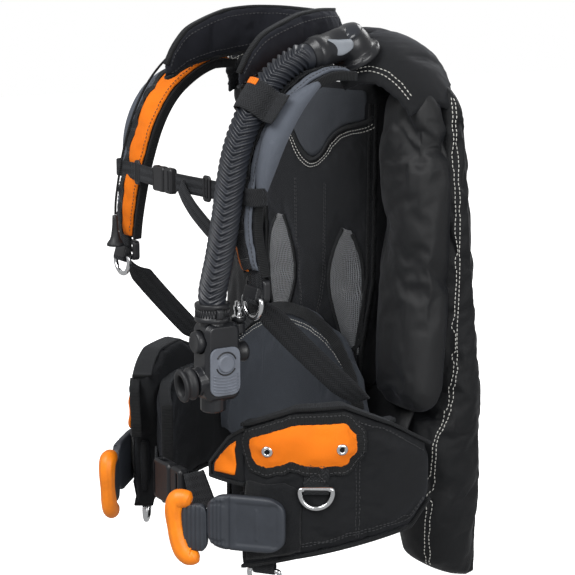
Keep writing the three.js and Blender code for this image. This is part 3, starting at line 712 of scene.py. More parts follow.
# %% [markdown]
# ### Fabrics
# Woven fabric, webbing, spacer mesh and loop pile. Each mixes thread tones with slow noise, and bumps the
# threads.


# %% Fabric finishes
def cloth(name, colour, pitch, uv=True, depth=0.35, sheen=0.06, rough=0.75, contrast=0.35, specular=0.2,
    wear=0.12, tint=(0.8, 0.85, 1, 1)):
    """Woven fabric: threads that catch light, lighter rubbed areas and slow changes of tone."""
    p = Paint(name, rough, sheen=sheen, specular=specular, sheen_tint=tint)
    weave = p.weave(pitch, uv)
    tone = p.colour([(0.3, scaled(colour, 0.82)), (0.7, scaled(colour, 1.2))], p.noise(22, 4))
    threads = p.colour([(0, scaled(colour, 1 - contrast)), (1, scaled(colour, 1 + contrast))], weave)
    body = mixed(p, tone, threads, p.noise(600, 2))
    rubbed = p.math("MULTIPLY", p.math("GREATER_THAN", p.noise(70, 8, 0.7), 0.62), wear)
    p.base(mixed(p, body, scaled(colour, 2.2), rubbed))
    p.roughness(p.noise(40, 3), rough - 0.1, rough + 0.12)
    p.bump(p.noise(90, 4), 0.5, 0.5)
    p.bump(weave, depth, 0.9)
    return p.material


CORDURA = cloth("black cordura", srgb(26, 27, 29), 1.5, depth=0.5, contrast=0.5)
CORDURA_SIM = cloth("black cordura, simulated", srgb(26, 27, 29), 1.5, uv=False, depth=0.5, contrast=0.5)
SATIN = cloth("black satin nylon", srgb(19, 20, 22), 0.9, uv=False, depth=0.14, sheen=0.02, rough=0.5,
    contrast=0.2, specular=0.22, wear=0.02)
LOBE_CLOTH = cloth("smooth black lobe fabric", srgb(17, 18, 20), 0.8, uv=False, depth=0.1, sheen=0.05,
    rough=0.5, contrast=0.2, specular=0.35, wear=0.03)
NEOPRENE = cloth("lined neoprene", srgb(21, 22, 28), 1.1, uv=False, depth=0.22, sheen=0.12, rough=0.85,
    contrast=0.25, specular=0.2, wear=0.06)
PAD_CLOTH = cloth("black pad fabric", srgb(22, 23, 25), 1.2, uv=False, depth=0.25, sheen=0.08, rough=0.75,
    contrast=0.3)
DARK_GREY = cloth("dark grey panel fabric", srgb(58, 61, 66), 1.4, depth=0.35, sheen=0.1, rough=0.8)
SLATE = cloth("slate grey fabric", srgb(54, 58, 64), 1.4, uv=False, depth=0.35, sheen=0.1, rough=0.8)
LIGHT_GREY = cloth("light grey panel fabric", srgb(88, 93, 102), 1.4, depth=0.4, sheen=0.1, rough=0.75)
ORANGE = cloth("orange panel fabric", srgb(250, 124, 18), 1.5, depth=0.4, sheen=0.03, rough=0.62,
    contrast=0.14, wear=0.0, tint=(1, 0.8, 0.6, 1))
LINING = cloth("black lining", srgb(20, 21, 23), 1.2, uv=False, depth=0.2)


def webbing(name, colour, pitch=2.2, slant=0.6):
    """Ribbed nylon webbing with chevron ribs and darker edges between the threads."""
    p = Paint(name, 0.72, sheen=0.08, specular=0.25, sheen_tint=(0.85, 0.9, 1, 1))
    ribs = p.ribs(pitch, slant)
    fine = p.weave(0.9)
    tone = p.colour([(0, scaled(colour, 0.55)), (0.6, colour), (1, scaled(colour, 1.5))], ribs)
    p.base(mixed(p, tone, scaled(colour, 1.8), p.math("MULTIPLY", p.noise(60, 6, 0.7), 0.35)))
    p.roughness(p.noise(50, 3), 0.6, 0.85)
    p.bump(fine, 0.15, 0.6)
    p.bump(ribs, 0.5, 1.0)
    return p.material


WEB_BLACK = webbing("black webbing", srgb(25, 26, 28))
WEB_WIDE = webbing("wide black webbing", srgb(30, 31, 33), 2.8, 0.9)
WEB_ORANGE = webbing("orange webbing", srgb(248, 112, 16), 2.4, 0.0)
BINDING = webbing("black binding", srgb(19, 20, 21), 1.7, 0.0)


def mesh_fabric(name, colour, hole, pitch):
    """Spacer mesh: round holes in straight rows through a knitted face, half a pitch apart."""
    p = Paint(name, 0.6, sheen=0.4, specular=0.5)
    a, b = p.across_and_along(True)
    k = 2 * math.pi / (pitch * MM)
    across, down = (p.math("SINE", p.math("MULTIPLY", c, k)) for c in (a, b))
    one = p.math("MULTIPLY", across, down)
    face = p.math("SMOOTH_MIN", p.math("MULTIPLY_ADD", p.math("ABSOLUTE", one), -1.6, 1.0), 1.0, 0.1)
    p.base(p.colour([(0.25, hole), (0.5, colour), (1.0, scaled(colour, 1.35))], face))
    p.roughness(p.noise(60, 2), 0.5, 0.75)
    p.bump(face, 1.2, 1.0)
    return p.material


SPACER = mesh_fabric("silver spacer mesh", srgb(112, 116, 122), srgb(22, 23, 25), 4.4)


def loop_field(name, colour):
    """The loop side of hook and loop tape: a dense fuzzy pile."""
    p = Paint(name, 0.95, sheen=0.15, specular=0.1)
    fuzz = p.noise(900, 5, 0.8)
    p.base(p.colour([(0.3, scaled(colour, 0.4)), (0.7, scaled(colour, 2.0))], fuzz))
    p.bump(fuzz, 1.2, 1.0)
    return p.material


PILE = loop_field("loop pile", srgb(25, 26, 28))


# %% [markdown]
# ### Hard finishes and thread
# Rubber and plastic get a fine grain and uneven gloss, steel gets rubbing marks, and thread gets a twist.


# %% Rubber, plastic, thread and steel
def rubber(name, colour, rough=0.5, grain=0.06, coat=0.0, specular=0.5):
    """Moulded rubber with a fine skin, dusty tone and small scuffs."""
    p = Paint(name, rough, coat=coat, specular=specular)
    p.base(p.colour([(0.3, scaled(colour, 0.85)), (0.62, scaled(colour, 1.1)),
        (0.85, scaled(colour, 1.35))], p.noise(45, 6, 0.65)))
    p.roughness(p.noise(120, 4), rough - 0.08, rough + 0.14)
    p.bump(p.noise(1500, 3), grain, 0.6)
    return p.material


def plastic(name, colour, rough=0.36, grain=0.05):
    """Injection moulded plastic: a faint spark-eroded grain, with handling marks in the gloss."""
    p = Paint(name, rough, specular=0.5)
    marks = p.noise(160, 8, 0.75)
    p.base(p.colour([(0.35, scaled(colour, 0.9)), (0.75, scaled(colour, 1.25))], p.noise(30, 4)))
    p.roughness(marks, rough - 0.1, rough + 0.2)
    p.bump(p.noise(1800, 2), grain, 0.5)
    return p.material


def steel(name):
    """Polished stainless steel with fine rubbing marks."""
    p = Paint(name, 0.16, metallic=1.0)
    rub = p.noise(500, 6, 0.8, (1, 1, 9))
    p.base(p.colour([(0.3, (0.62, 0.63, 0.65, 1)), (0.7, (0.86, 0.87, 0.88, 1))], rub))
    p.roughness(rub, 0.1, 0.26)
    p.bump(rub, 0.03, 0.35)
    return p.material


def thread(name, colour):
    """Bonded sewing thread, twisted from plies."""
    p = Paint(name, 0.5, sheen=0.3, specular=0.4)
    twist = p.noise(2500, 2)
    p.base(p.colour([(0.35, scaled(colour, 0.75)), (0.65, scaled(colour, 1.1))], twist))
    p.bump(twist, 0.15, 0.8)
    return p.material


HOSE = rubber("corrugated hose rubber", srgb(31, 34, 41), 0.4, 0.05, specular=0.6)
BLACK_RUBBER = rubber("black rubber", srgb(26, 27, 30), 0.5)
GREY_RUBBER = rubber("slate rubber", srgb(48, 52, 59), 0.5, 0.1)
INSERT = rubber("grey grip rubber", srgb(104, 109, 119), 0.5, 0.08)
ORANGE_RUBBER = rubber("orange handle rubber", srgb(250, 134, 16), 0.42, 0.05)
PLASTIC = plastic("black plastic", srgb(27, 28, 31))
SATIN_PLASTIC = plastic("satin black plastic", srgb(30, 31, 34), 0.28, 0.03)
SMOKE = plastic("smoky dome plastic", srgb(40, 42, 47), 0.14, 0.01)
BADGE = plastic("grey badge plastic", srgb(122, 127, 134), 0.35, 0.03)
STEEL = steel("polished steel")
WHITE_THREAD = thread("off-white thread", srgb(205, 204, 198))
BLACK_THREAD = thread("black thread", srgb(46, 47, 50))
print("materials:", len(bpy.data.materials))


def dress(obj, material, body="vest", replaces=()):
    """Gives a finished piece its material and body, and hides the CAD nodes that it stands for."""
    obj.data.materials.clear()
    obj.data.materials.append(material)
    if body:
        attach(obj, body)
    if replaces:
        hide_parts(*([replaces] if isinstance(replaces, str) else replaces))
    return obj


# %% [markdown]
# ## Air cell: wing covers and front lobes
# Each is a tall pillow with oval sections, swollen by the cloth simulation between its seams.


# %% Wing and lobe shapes
HEAD = 26


def pillow_rings(z0, z1, half, middle, count, power, sag=0.0, foot=26):
    """Rings up a pillow. half(z) and middle(z) give its half-widths and centre in X and Y. Each ring is a
    superellipse |x/a|^power + |y/b|^power = 1. Its ends round over within HEAD and `foot`, and `sag` tips
    its foot."""
    th = np.linspace(0, 2 * np.pi, 44, endpoint=False)
    ease = 0.5 - 0.5 * np.cos(np.linspace(0, np.pi, count))
    zs = z0 + (z1 - z0) * ease
    rings = []
    for z in zs:
        (a, b), (cx, cy) = half(z), middle(z)
        end = min((z - z0) / foot, (z1 - z) / HEAD)
        k = math.sqrt(max(0.0, 1 - (1 - min(1, end)) ** 2)) * 0.9 + 0.1
        c, s = np.cos(th), np.sin(th)
        x = cx + a * (0.55 + 0.45 * k) * np.sign(c) * np.abs(c) ** (2 / power)
        y = cy + b * k * np.sign(s) * np.abs(s) ** (2 / power)
        low = np.clip((z1 - z) / (z1 - z0) - 0.6, 0, 1)
        rings.append(np.stack([x, y, z - sag * low * (y - cy)], 1))
    return np.array(rings)


def table(z, rows):
    """Straight-line lookup in rows of (z, value)."""
    rows = np.asarray(rows, float)
    return float(np.interp(z, rows[:, 0], rows[:, 1]))


def wing_edges(z):
    """Inner and outer edge in X, front and back in Y, at a height."""
    x0 = table(z, [(-300, 124), (-240, 110), (-110, 101), (100, 100), (216, 108)])
    x1 = table(z, [(-300, 178), (-240, 189), (-110, 198), (100, 196), (160, 190), (196, 180), (212, 168)])
    y0 = table(z, [(-300, -34), (-250, -42), (-150, -40), (-118, -18), (218, -20)])
    y1 = table(z, [(-300, 40), (-200, 38), (-110, 29), (0, 15), (100, 6), (180, 0), (212, -8)])
    return x0, x1, y0, y1


def wing_half(z):
    """Half-widths of the wing."""
    x0, x1, y0, y1 = wing_edges(z)
    return (x1 - x0) / 2, (y1 - y0) / 2


def wing_middle(z):
    """Centre of the wing."""
    x0, x1, y0, y1 = wing_edges(z)
    return (x0 + x1) / 2, (y0 + y1) / 2


front_seam = [(186, -16, 200), (194, -16, 150), (197, -15, 60), (198, -15, -20), (197, -22, -110),
    (191, -36, -170), (184, -38, -240), (172, -30, -306)]
wing = loft("cell_left", pillow_rings(-308, 211, wing_half, wing_middle, 62, power=3.2, sag=1.1, foot=7))
back_seam = [(150, 42, -290), (190, 24, -150), (196, 12, 0), (186, 0, 180)]
wing_pins = [spline(front_seam, 90), spline(back_seam, 90)]
puff(wing, 5.0, 5, 9, 20, 0.05, wing_pins, 7)
wing_skin = Skin(wing)
dress(wing, SATIN, replaces="wing_left")
dress(mirrored(wing, "cell_right"), SATIN, replaces="wing_right")
seam_rows = rows_on(wing_skin, front_seam, (-2.6, 2.6), 0.3, 190)
for side in (LEFT, RIGHT):
    dress(stitches("wing_seam_stitches_" + SIDE_NAME[side], seam_rows, side, 4.6, 3.2, 1.0), WHITE_THREAD)
print("wing faces:", len(wing.data.polygons))


def lobe_half(z):
    """Half-widths of the front lobe, slimmer above z = 120."""
    top = np.clip((z - 120) / 90, 0, 1)
    return 39 - 8 * top, 25 - 8 * top


def lobe_middle(z):
    """Centre of the front lobe."""
    top = np.clip((z - 120) / 90, 0, 1)
    return 157 - 8 * top, -42 + 6 * top


lobe = loft("lobe_left", pillow_rings(-121, 207, lobe_half, lobe_middle, 52, power=2.7))
lobe_seam = [(158, -62, 190), (158, -63, 60), (158, -63, -100)]
puff(lobe, 5.0, 5, 7, 20, 0.05, [spline(lobe_seam, 60)], 5)
dress(lobe, LOBE_CLOTH, replaces="air_lobe_left")
dress(mirrored(lobe, "lobe_right"), LOBE_CLOTH, replaces="air_lobe_right")

# %% [markdown]
# ### Gusset
# A flat padded panel on each side closes the space between the back pad and the lobe.

# %% Gusset between the back pad and the air cell
gusset_z = np.linspace(-238, 208, 60)[:, None]
gusset_x = np.linspace(0, 1, 9)[None, :]
gusset_far = np.interp(gusset_z, [-238, -130, -100, 208], [168, 160, 132, 130])
gusset_near = np.interp(gusset_z, [-238, -132, -118, 208], [40, 40, 94, 94])
gusset_y = np.interp(gusset_z, [-238, -150, -118, 208], [-52, -50, -33, -33])
gusset_across = gusset_near + (gusset_far - gusset_near) * gusset_x
gusset_points = np.stack(np.broadcast_arrays(gusset_across, gusset_y, gusset_z), -1)
for side in (LEFT, RIGHT):
    facing = np.broadcast_to([0.0, -1.0, 0.0], gusset_points.shape)
    panel = slab("gusset_" + SIDE_NAME[side], gusset_points, facing, 9, side)
    dress(panel, LOBE_CLOTH)

# %% [markdown]
# ## Yoke, collar and shoulder straps
# The yoke joins both sides of the air cell over the tank. Seen from above it reaches forward over each
# shoulder, and it falls away from its middle to its edges.

# %% Yoke
u = np.linspace(-1, 1, 71)[:, None]
v = np.linspace(0, 1, 25)[None, :]
YOKE_HALF = 180
yoke_x = YOKE_HALF * u + 0 * v
yoke_bump = np.sqrt(np.clip(1 - ((np.abs(yoke_x) - 118) / 36) ** 2, 0, 1))
outside = np.clip((np.abs(yoke_x) - 118) / 58, 0, 1)
yoke_front = np.where(np.abs(yoke_x) < 118, -42 - 60 * yoke_bump, -102 + 36 * outside)
yoke_back = np.interp(np.abs(yoke_x), [0, 110, 150, 180], [23, 13, 3, -8])


def yoke_height(x, y):
    """Height of the yoke's middle surface over a place."""
    crown = 256 - 44 * (np.abs(x) / 178) ** 4 - 24 * np.clip((np.abs(x) - 130) / 50, 0, 1) ** 2
    return crown - ((y + 35) / 60) ** 2 * np.where(y < -35, 36, 44)


yoke_y = yoke_back + (yoke_front - yoke_back) * v
yoke_points = np.stack([yoke_x, yoke_y, yoke_height(yoke_x, yoke_y)], -1)
yoke = slab("yoke", yoke_points, grid_normals(yoke_points), 12, rim=0.5)
yoke_rim = [yoke_points[:, 1], yoke_points[:, -2]]
puff(yoke, 4.5, 4, 4, 16, 0.04, yoke_rim + [yoke_points[[17, 53], :].reshape(-1, 3)], 6)
yoke_skin = Skin(yoke)
dress(yoke, PAD_CLOTH, replaces="top_yoke")
yoke_rows = []
for s in (-1, 1):
    for inset in (8.1, 4.05):
        share = s * np.linspace(0.58, 0.97, 60)
        x, y = YOKE_HALF * share, np.interp(share, u[:, 0], yoke_front[:, 0]) + inset
        yoke_rows.append(yoke_skin.lay(np.stack([x, y, yoke_height(x, y) + 8], 1), 0.3))
dress(stitches("yoke_stitches", yoke_rows, LEFT, 4.6, 3.2, 1.0), WHITE_THREAD)
print("yoke faces:", len(yoke.data.polygons))

# %% [markdown]
# ### Collar
# A padded roll round the back of the neck, with bound edges and rows of stitching on both faces.

# %% Collar
collar_line = spline([
    [-77, -200, 226], [-78, -172, 240], [-76, -138, 251], [-69, -104, 257], [-54, -76, 258],
        [-28, -61, 257], [0, -56, 256],
    [28, -61, 257], [54, -76, 258], [69, -104, 257], [76, -138, 251], [78, -172, 240], [77, -200, 226],
], 91)
collar_u = np.linspace(-1, 1, 91)
collar_half = np.interp(np.abs(collar_u), [0, 0.6, 0.86, 0.95, 1], [21, 24, 19, 14, 7])
collar_drop = 12 * np.clip((np.abs(collar_u) - 0.8) / 0.2, 0, 1) ** 2
collar_line = collar_line - UP * collar_drop[:, None]
collar_v = np.linspace(-1, 1, 15)
collar_points = collar_line[:, None] + (collar_half[:, None] * collar_v)[..., None] * UP
collar_out = -grid_normals(collar_points)
collar = slab("neck_roll", collar_points, collar_out, 20, rim=0.4, power=3)
seam_points, seam_out = collar_points[[22, 68]].reshape(-1, 3), collar_out[[22, 68]].reshape(-1, 3)
collar_seams = [collar_points[:, 0], collar_points[:, -1], seam_points + seam_out * 8,
    seam_points - seam_out * 8]
puff(collar, 4.0, 5, 5, 18, 0.05, collar_seams, 6)
collar_skin = Skin(collar)
dress(collar, NEOPRENE, replaces="collar")
for row, up, tag in ((0, -UP, "low"), (-1, UP, "top")):
    line = collar_points[:, row] + up * 0.3
    dress(ribbon("collar_binding_" + tag, line, up, 9, 3.4), BINDING)
collar_rows = []
for sign in (1, -1):
    for row in (2, 12):
        collar_rows.append(collar_skin.lay(collar_points[:, row] + collar_out[:, row] * sign * 9, 0.2))
dress(stitches("collar_stitches", collar_rows), BLACK_THREAD)

# %% [markdown]
# ### Shoulder straps
# A black padded base with an orange inner panel, a daisy chain of webbing down the middle and a grey outer
# panel, all bound at both edges.

# %% Shoulder straps
strap_line = spline([
    [118, -110, 219], [117, -136, 219], [116, -163, 207], [116, -188, 185], [116, -206, 154],
    [118, -217, 116], [122, -222, 80], [130, -222, 50], [137, -220, 28],
], 81)
STRAP_ROWS, STRAP_COLS = 81, 13
strap_v = np.linspace(0, 1, STRAP_ROWS)
strap_width = np.interp(strap_v, [0, 0.55, 1], [58, 50, 34])


def strap_grid(u0, u1, v0=0.0, v1=1.0, rows=STRAP_ROWS, cols=STRAP_COLS, lift=0.0):
    """Points over the strap between two shares of its half-width and two shares of its length."""
    v = np.linspace(v0, v1, rows)
    place = np.stack([np.interp(v, strap_v, strap_line[:, k]) for k in range(3)], 1)
    width = np.interp(v, strap_v, strap_width)
    low = u0(v) if callable(u0) else np.full(rows, u0)
    high = u1(v) if callable(u1) else np.full(rows, u1)
    u = low[:, None] + (high - low)[:, None] * np.linspace(0, 1, cols)[None]
    grid = place[:, None] + np.stack([u * width[:, None] / 2, 4 * u**2, 0 * u], -1)
    return grid + strap_out(grid) * lift


def strap_out(grid):
    """Outward normals of the strap at a grid of its points."""
    return unit(np.cross(np.gradient(grid, axis=0), np.array([1.0, 0, 0])))


base_grid = strap_grid(-1, 1)
strap = slab("strap_base_left", base_grid, strap_out(base_grid), 12.5, rim=0.45, power=4)
puff(strap, 3.5, 3, 2.5, 12, 0.03, [base_grid[:, 0], base_grid[:, -1]], 5)
strap_skin = Skin(strap)
dress(strap, LINING, replaces="shoulder_strap_left")
dress(mirrored(strap, "strap_base_right"), LINING, replaces="shoulder_strap_right")


def chain_u(v, off=0.0):
    """Where the daisy chain runs across the strap, and places beside it."""
    return np.interp(v, [0, 0.6, 1], [0.34, 0.3, 0.2]) + off


CHAIN_PITCH = 27
for side in (LEFT, RIGHT):
    tag = SIDE_NAME[side]
    inner = strap_grid(-0.93, lambda v: chain_u(v, -0.2), 0.03, 0.985, lift=6)
    dress(patch("strap_orange_" + tag, strap_skin, inner, 3.2, side=side), ORANGE)
    outer = strap_grid(lambda v: chain_u(v, 0.3), 0.93, 0.02, 0.97, lift=6)
    dress(patch("strap_grey_" + tag, strap_skin, outer, 3.6, side=side), LIGHT_GREY)
    bulge_line = strap_grid(1.1, 1.1, 0.18, 0.7, rows=40, cols=2, lift=1)[:, 0]
    bulge_radius = 3 + 9 * np.sin(np.pi * np.linspace(0, 1, 40)) ** 0.8
    dress(tube("strap_bolster_" + tag, bulge_line, bulge_radius, side, 20), LIGHT_GREY)
    for edge, u_at in (("inner", -0.99), ("outer", 0.99)):
        line = strap_grid(u_at, u_at, 0, 1, cols=2)[:, 0]
        out = np.broadcast_to(np.array([u_at, 0.0, 0.0]), line.shape)
        dress(ribbon(f"strap_{edge}_binding_{tag}", line, out, 9.5, 3.6, side), BINDING)
    beside = [lambda v, off=off: chain_u(v, off) for off in (-0.01, 0.01)]
    middle = strap_grid(*beside, 0.04, 0.97, rows=220, cols=3, lift=6)[:, 1]
    spots, out = strap_skin.lay(middle, 1.2)
    run = lengths(spots)
    humps = np.abs(np.sin(np.pi * run / CHAIN_PITCH)) ** 0.6 * 1.6
    dress(ribbon("strap_chain_" + tag, spots + out * humps[:, None], out, 15, 1.7, side), WEB_BLACK)
    tacks = []
    for at in np.arange(CHAIN_PITCH, run[-1] - 10, CHAIN_PITCH):
        i = int(np.searchsorted(run, at))
        cross = unit(np.cross(along(spots)[i], out[i]))
        for shift in (-0.9, 0.9):
            seg = spots[i] + out[i] * 1.2 + along(spots)[i] * shift
            seg = seg + cross * np.linspace(-6.5, 6.5, 5)[:, None]
            tacks.append((seg, np.broadcast_to(out[i], seg.shape)))
    dress(stitches("strap_tacks_" + tag, tacks, side, pitch=1.9, long=1.8, wide=0.9), BLACK_THREAD)
    edge_rows = []
    for u_at in (-0.86, 0.86):
        line = strap_grid(u_at, u_at, 0.03, 0.97, rows=110, cols=2, lift=8)[:, 0]
        edge_rows.append(strap_skin.lay(line, 3.4))
    dress(stitches("strap_edge_stitches_" + tag, edge_rows, side), BLACK_THREAD)
print("straps done")

# %% [markdown]
# ## Back pad and lumbar pad
# The pad is swollen between pinned seams: the curved seam under its grey top panel, the edges of its two
# mesh insets and its sides.

# %% Back pad
pad_z = np.linspace(-120, 206, 66)
pad_u = np.linspace(-1, 1, 45)
pad_half = np.interp(pad_z, [-125, -75, 0, 190, 206], [84, 92, 112, 114, 96])


def pad_at(x, z, lift=0.0):
    """A place over the back pad's middle surface, towards the wearer by lift."""
    x, z = np.broadcast_arrays(np.asarray(x, float), np.asarray(z, float))
    half = np.interp(z, pad_z, pad_half)
    y = -43.5 - 1.5 * np.cos(2 * x / half) - lift
    return np.stack([x, y, z], -1)


pad_grid = pad_at(pad_u[None] * pad_half[:, None], pad_z[:, None])
HALF_U = [(0, 119), (20, 127), (38, 145), (60, 157), (95, 166), (108, 172)]
U_LINE = [(-x, z) for x, z in HALF_U[:0:-1]] + HALF_U
MESH_INNER = [(60, 50), (42, 22), (34, -10), (44, -42), (66, -84)]
MESH_OUTER = [(74, 50), (92, 24), (97, -10), (94, -45), (86, -84)]
u_line = np.array(U_LINE, float)
u_path = pad_at(u_line[:, 0], u_line[:, 1], 18)
pad_base = slab("pad_base", pad_grid, np.broadcast_to([0.0, -1.0, 0.0], pad_grid.shape), 35, rim=0.4, power=8)
pins = [spline(u_path, 90)]
for s in (-1, 1):
    for edge in (MESH_INNER, MESH_OUTER):
        e = np.array(edge, float)
        pins.append(spline(pad_at(s * e[:, 0], e[:, 1], 17.5), 40))
    pins.append(pad_at(s * (pad_half - 7), pad_z, 17))
puff(pad_base, 5.0, 4, 4, 16, 0.03, pins, 7)
pad_skin = Skin(pad_base)
dress(pad_base, PAD_CLOTH, replaces="back_pad")
low = spline(pad_at(u_line[1:-1, 0], u_line[1:-1, 1] + 3, 22), 41)
high = pad_at(np.interp(np.linspace(0, 1, 41), [0, 0.08, 0.92, 1], [-98, -92, 92, 98]), 200, 22)
dress(patch("pad_top_panel", pad_skin, between(low, high, 15, 41), 3.0), DARK_GREY)
u_spots, _ = pad_skin.lay(spline(u_path, 90), 1.6)
dress(tube("pad_piping_u", u_spots, 2.3, sides=10), BINDING)
for s in (-1, 1):
    name = "left" if s > 0 else "right"
    inner, outer = np.array(MESH_INNER, float), np.array(MESH_OUTER, float)
    a = spline(pad_at(s * inner[:, 0], inner[:, 1], 22), 33)
    b = spline(pad_at(s * outer[:, 0], outer[:, 1], 22), 33)
    dress(patch("pad_mesh_" + name, pad_skin, between(a, b, 13, 33), 2.0), SPACER)
    ring = np.vstack([a, b[::-1], a[:1]])
    dress(tape("pad_mesh_edge_" + name, pad_skin, ring[::4], 4.5, 1.8, 0.6, count=120), BINDING)
    for k, inset in enumerate((4, 12)):
        z = np.linspace(-108, 186, 70)
        line, _ = pad_skin.lay(pad_at(s * (np.interp(z, pad_z, pad_half) - inset), z, 14), 0.8)
        dress(tube(f"pad_edge_piping_{name}_{k}", line, 2.0, sides=8), BINDING)
white_rows = rows_on(pad_skin, u_path, (6.0, 9.5), 2.4)
dress(stitches("pad_stitches", white_rows), WHITE_THREAD)
seam = spline(pad_at([-30, -26, -10, 10, 26, 30], [96, 0, -60, -60, 0, 96], 22), 40)
dress(stitches("pad_seam_stitches", rows_on(pad_skin, seam, (-1.5, 1.5), 0.2)), BLACK_THREAD)

# %% [markdown]
# ### Lumbar pad
# A grey cushion with an arched, bound top edge and a row of white stitches under it.

# %% Lumbar pad
lumbar_u = np.linspace(-1, 1, 61)[:, None]
lumbar_v = np.linspace(0, 1, 33)[None, :]


def lumbar_at(u, v, lift=0.0):
    """A place on the lumbar pad: u across it and v from its foot up to its arched top."""
    u, v = np.broadcast_arrays(np.asarray(u, float), np.asarray(v, float))
    top = -40 - 84 * np.abs(u) ** 2.2
    foot = -236 + 24 * u**2
    return np.stack([150 * u, -77 - 20 * u**4 - lift, foot + (top - foot) * v], -1)


lumbar_grid = lumbar_at(lumbar_u, lumbar_v)
facing = np.broadcast_to([0.0, -1.0, 0.0], lumbar_grid.shape)
lumbar = slab("lumbar_cushion", lumbar_grid, facing, 16, rim=0.5, power=6)
arch = lumbar_at(np.linspace(-0.97, 0.97, 80), 0.96, 8)
inner_arch = lumbar_at(np.linspace(-0.9, 0.9, 70), 0.86, 8)
puff(lumbar, 4.5, 4, 5, 16, 0.04, [arch, inner_arch], 6)
lumbar_skin = Skin(lumbar)
dress(lumbar, SLATE, replaces="lumbar_pad")
edge = lumbar_at(np.linspace(-0.985, 0.985, 24), 0.97, 8)
dress(tape("lumbar_binding", lumbar_skin, edge, 13, 3.0, 0.2, count=110), BINDING)
lumbar_rows = rows_on(lumbar_skin, lumbar_at(np.linspace(-0.95, 0.95, 24), 0.9, 8), (-1.8, 1.8), 0.3)
dress(stitches("lumbar_stitches", lumbar_rows), WHITE_THREAD)
print("pads done")

# %% [markdown]
# ## Waist: inner panels and cargo pockets
# A place on the waist has the share `t` of the way round from the back, a height, and a distance out from
# the pockets' outer face, which is below zero inside it.

# %% Waist shapes
hip_path = spline([
    [203, -48, 0], [203, -82, 0], [197, -120, 0], [184, -158, 0], [160, -194, 0], [126, -223, 0],
        [88, -242, 0],
    [44, -252, 0], [0, -254, 0],
], 401)
hip_along = along(hip_path)


def hip(t, z, depth=0.0):
    """A place on the waist: t round from the back, z up, depth out from the pocket's face."""
    t, z = np.broadcast_arrays(np.asarray(t, float), np.asarray(z, float))
    s = np.linspace(0, 1, 401)
    x, y = np.interp(t, s, hip_path[:, 0]), np.interp(t, s, hip_path[:, 1])
    dx, dy = np.interp(t, s, hip_along[:, 0]), np.interp(t, s, hip_along[:, 1])
    return np.stack([x - dy * depth, y + dx * depth, z], -1)


def hip_out(t):
    """Outward direction of the waist."""
    s = np.linspace(0, 1, 401)
    dx, dy = np.interp(t, s, hip_along[:, 0]), np.interp(t, s, hip_along[:, 1])
    return unit(np.stack([-dy, dx, 0 * np.asarray(t, float)], -1))


def pocket_top(t):
    """Height of the pocket's top edge."""
    return np.interp(t, [0, 0.14, 0.3, 0.45, 0.6, 0.7], [-154, -128, -106, -109, -127, -132])


def pocket_bottom(t):
    """Height of the pocket's bottom edge."""
    return np.interp(t, [0, 0.07, 0.3, 0.45, 0.62, 0.7], [-212, -238, -252, -262, -277, -277])


def waist_grid(t0, t1, low, high, depth, m=41, n=17):
    """Rows round the waist between two edge lines."""
    t = np.linspace(t0, t1, m)[:, None]
    f = np.linspace(0, 1, n)[None, :]
    z = low(t) + (high(t) - low(t)) * f
    return hip(t, z, depth), np.broadcast_to(hip_out(t), (m, n, 3))


def edge_binding(name, g, step, width, thick, side):
    """Binding along the top, front and bottom edges of a grid round the waist."""
    top, front, foot = g[::step, -1], g[-1, ::-3], g[::-step, 0]
    out = [np.broadcast_to(UP, top.shape), unit(front - g[-2, ::-3]), np.broadcast_to(-UP, foot.shape)]
    strip = ribbon(name, np.vstack([top, front, foot]), np.vstack(out), width, thick, side)
    dress(strip, BINDING)


# %% [markdown]
# ### Waist panels
# The padded inner panels reach round to the front, behind the pockets.

# %% Waist panels
PANEL_DEPTH = -37.9
g, out = waist_grid(0.07, 0.75, lambda t: np.interp(t, [0, 0.5, 0.8], [-250, -268, -262]),
                    lambda t: np.interp(t, [0, 0.6, 0.8], [-132, -140, -160]), PANEL_DEPTH, 49, 21)
inner_panel = slab("waist_inner_left", g, out, 14, rim=0.5, power=6)
puff(inner_panel, 5.0, 3, 3.5, 12, 0.04, [g[:, 0], g[:, -1], g[-1]], 6)
dress(inner_panel, CORDURA_SIM, replaces="waist_panel_left")
dress(mirrored(inner_panel, "waist_inner_right"), CORDURA_SIM, replaces="waist_panel_right")
for side in (LEFT, RIGHT):
    edge_binding("waist_inner_binding_" + SIDE_NAME[side], g, 3, 13, 4.5, side)

# %% [markdown]
# ### Cargo pockets
# A padded body with an orange panel and two steel eyelets, a field of loop pile, a webbing tab for the
# D-ring with a crossed box of stitches, bindings at both edges and rows of black stitching.

# %% Cargo pockets
g, out = waist_grid(0.0, 0.63, pocket_bottom, pocket_top, -15, 57, 25)
pocket = slab("pocket_body_left", g, out, 28, rim=0.62, power=8)
ORANGE_FROM, ORANGE_TO = 0.25, 0.605
RING_T, HEM_T = 0.385, 0.56


def orange_low(t):
    """Height of the orange panel's wavy bottom edge."""
    return np.interp(t, [0.25, 0.29, 0.37, 0.46, 0.54, 0.585, 0.605],
        [-151, -166, -170, -164, -173, -168, -152])


def orange_high(t):
    """Height of the orange panel's top edge."""
    return pocket_top(t) - np.interp(t, [0.255, 0.29, 0.36, 0.52, 0.6], [20, 12, 11, 10, 11])


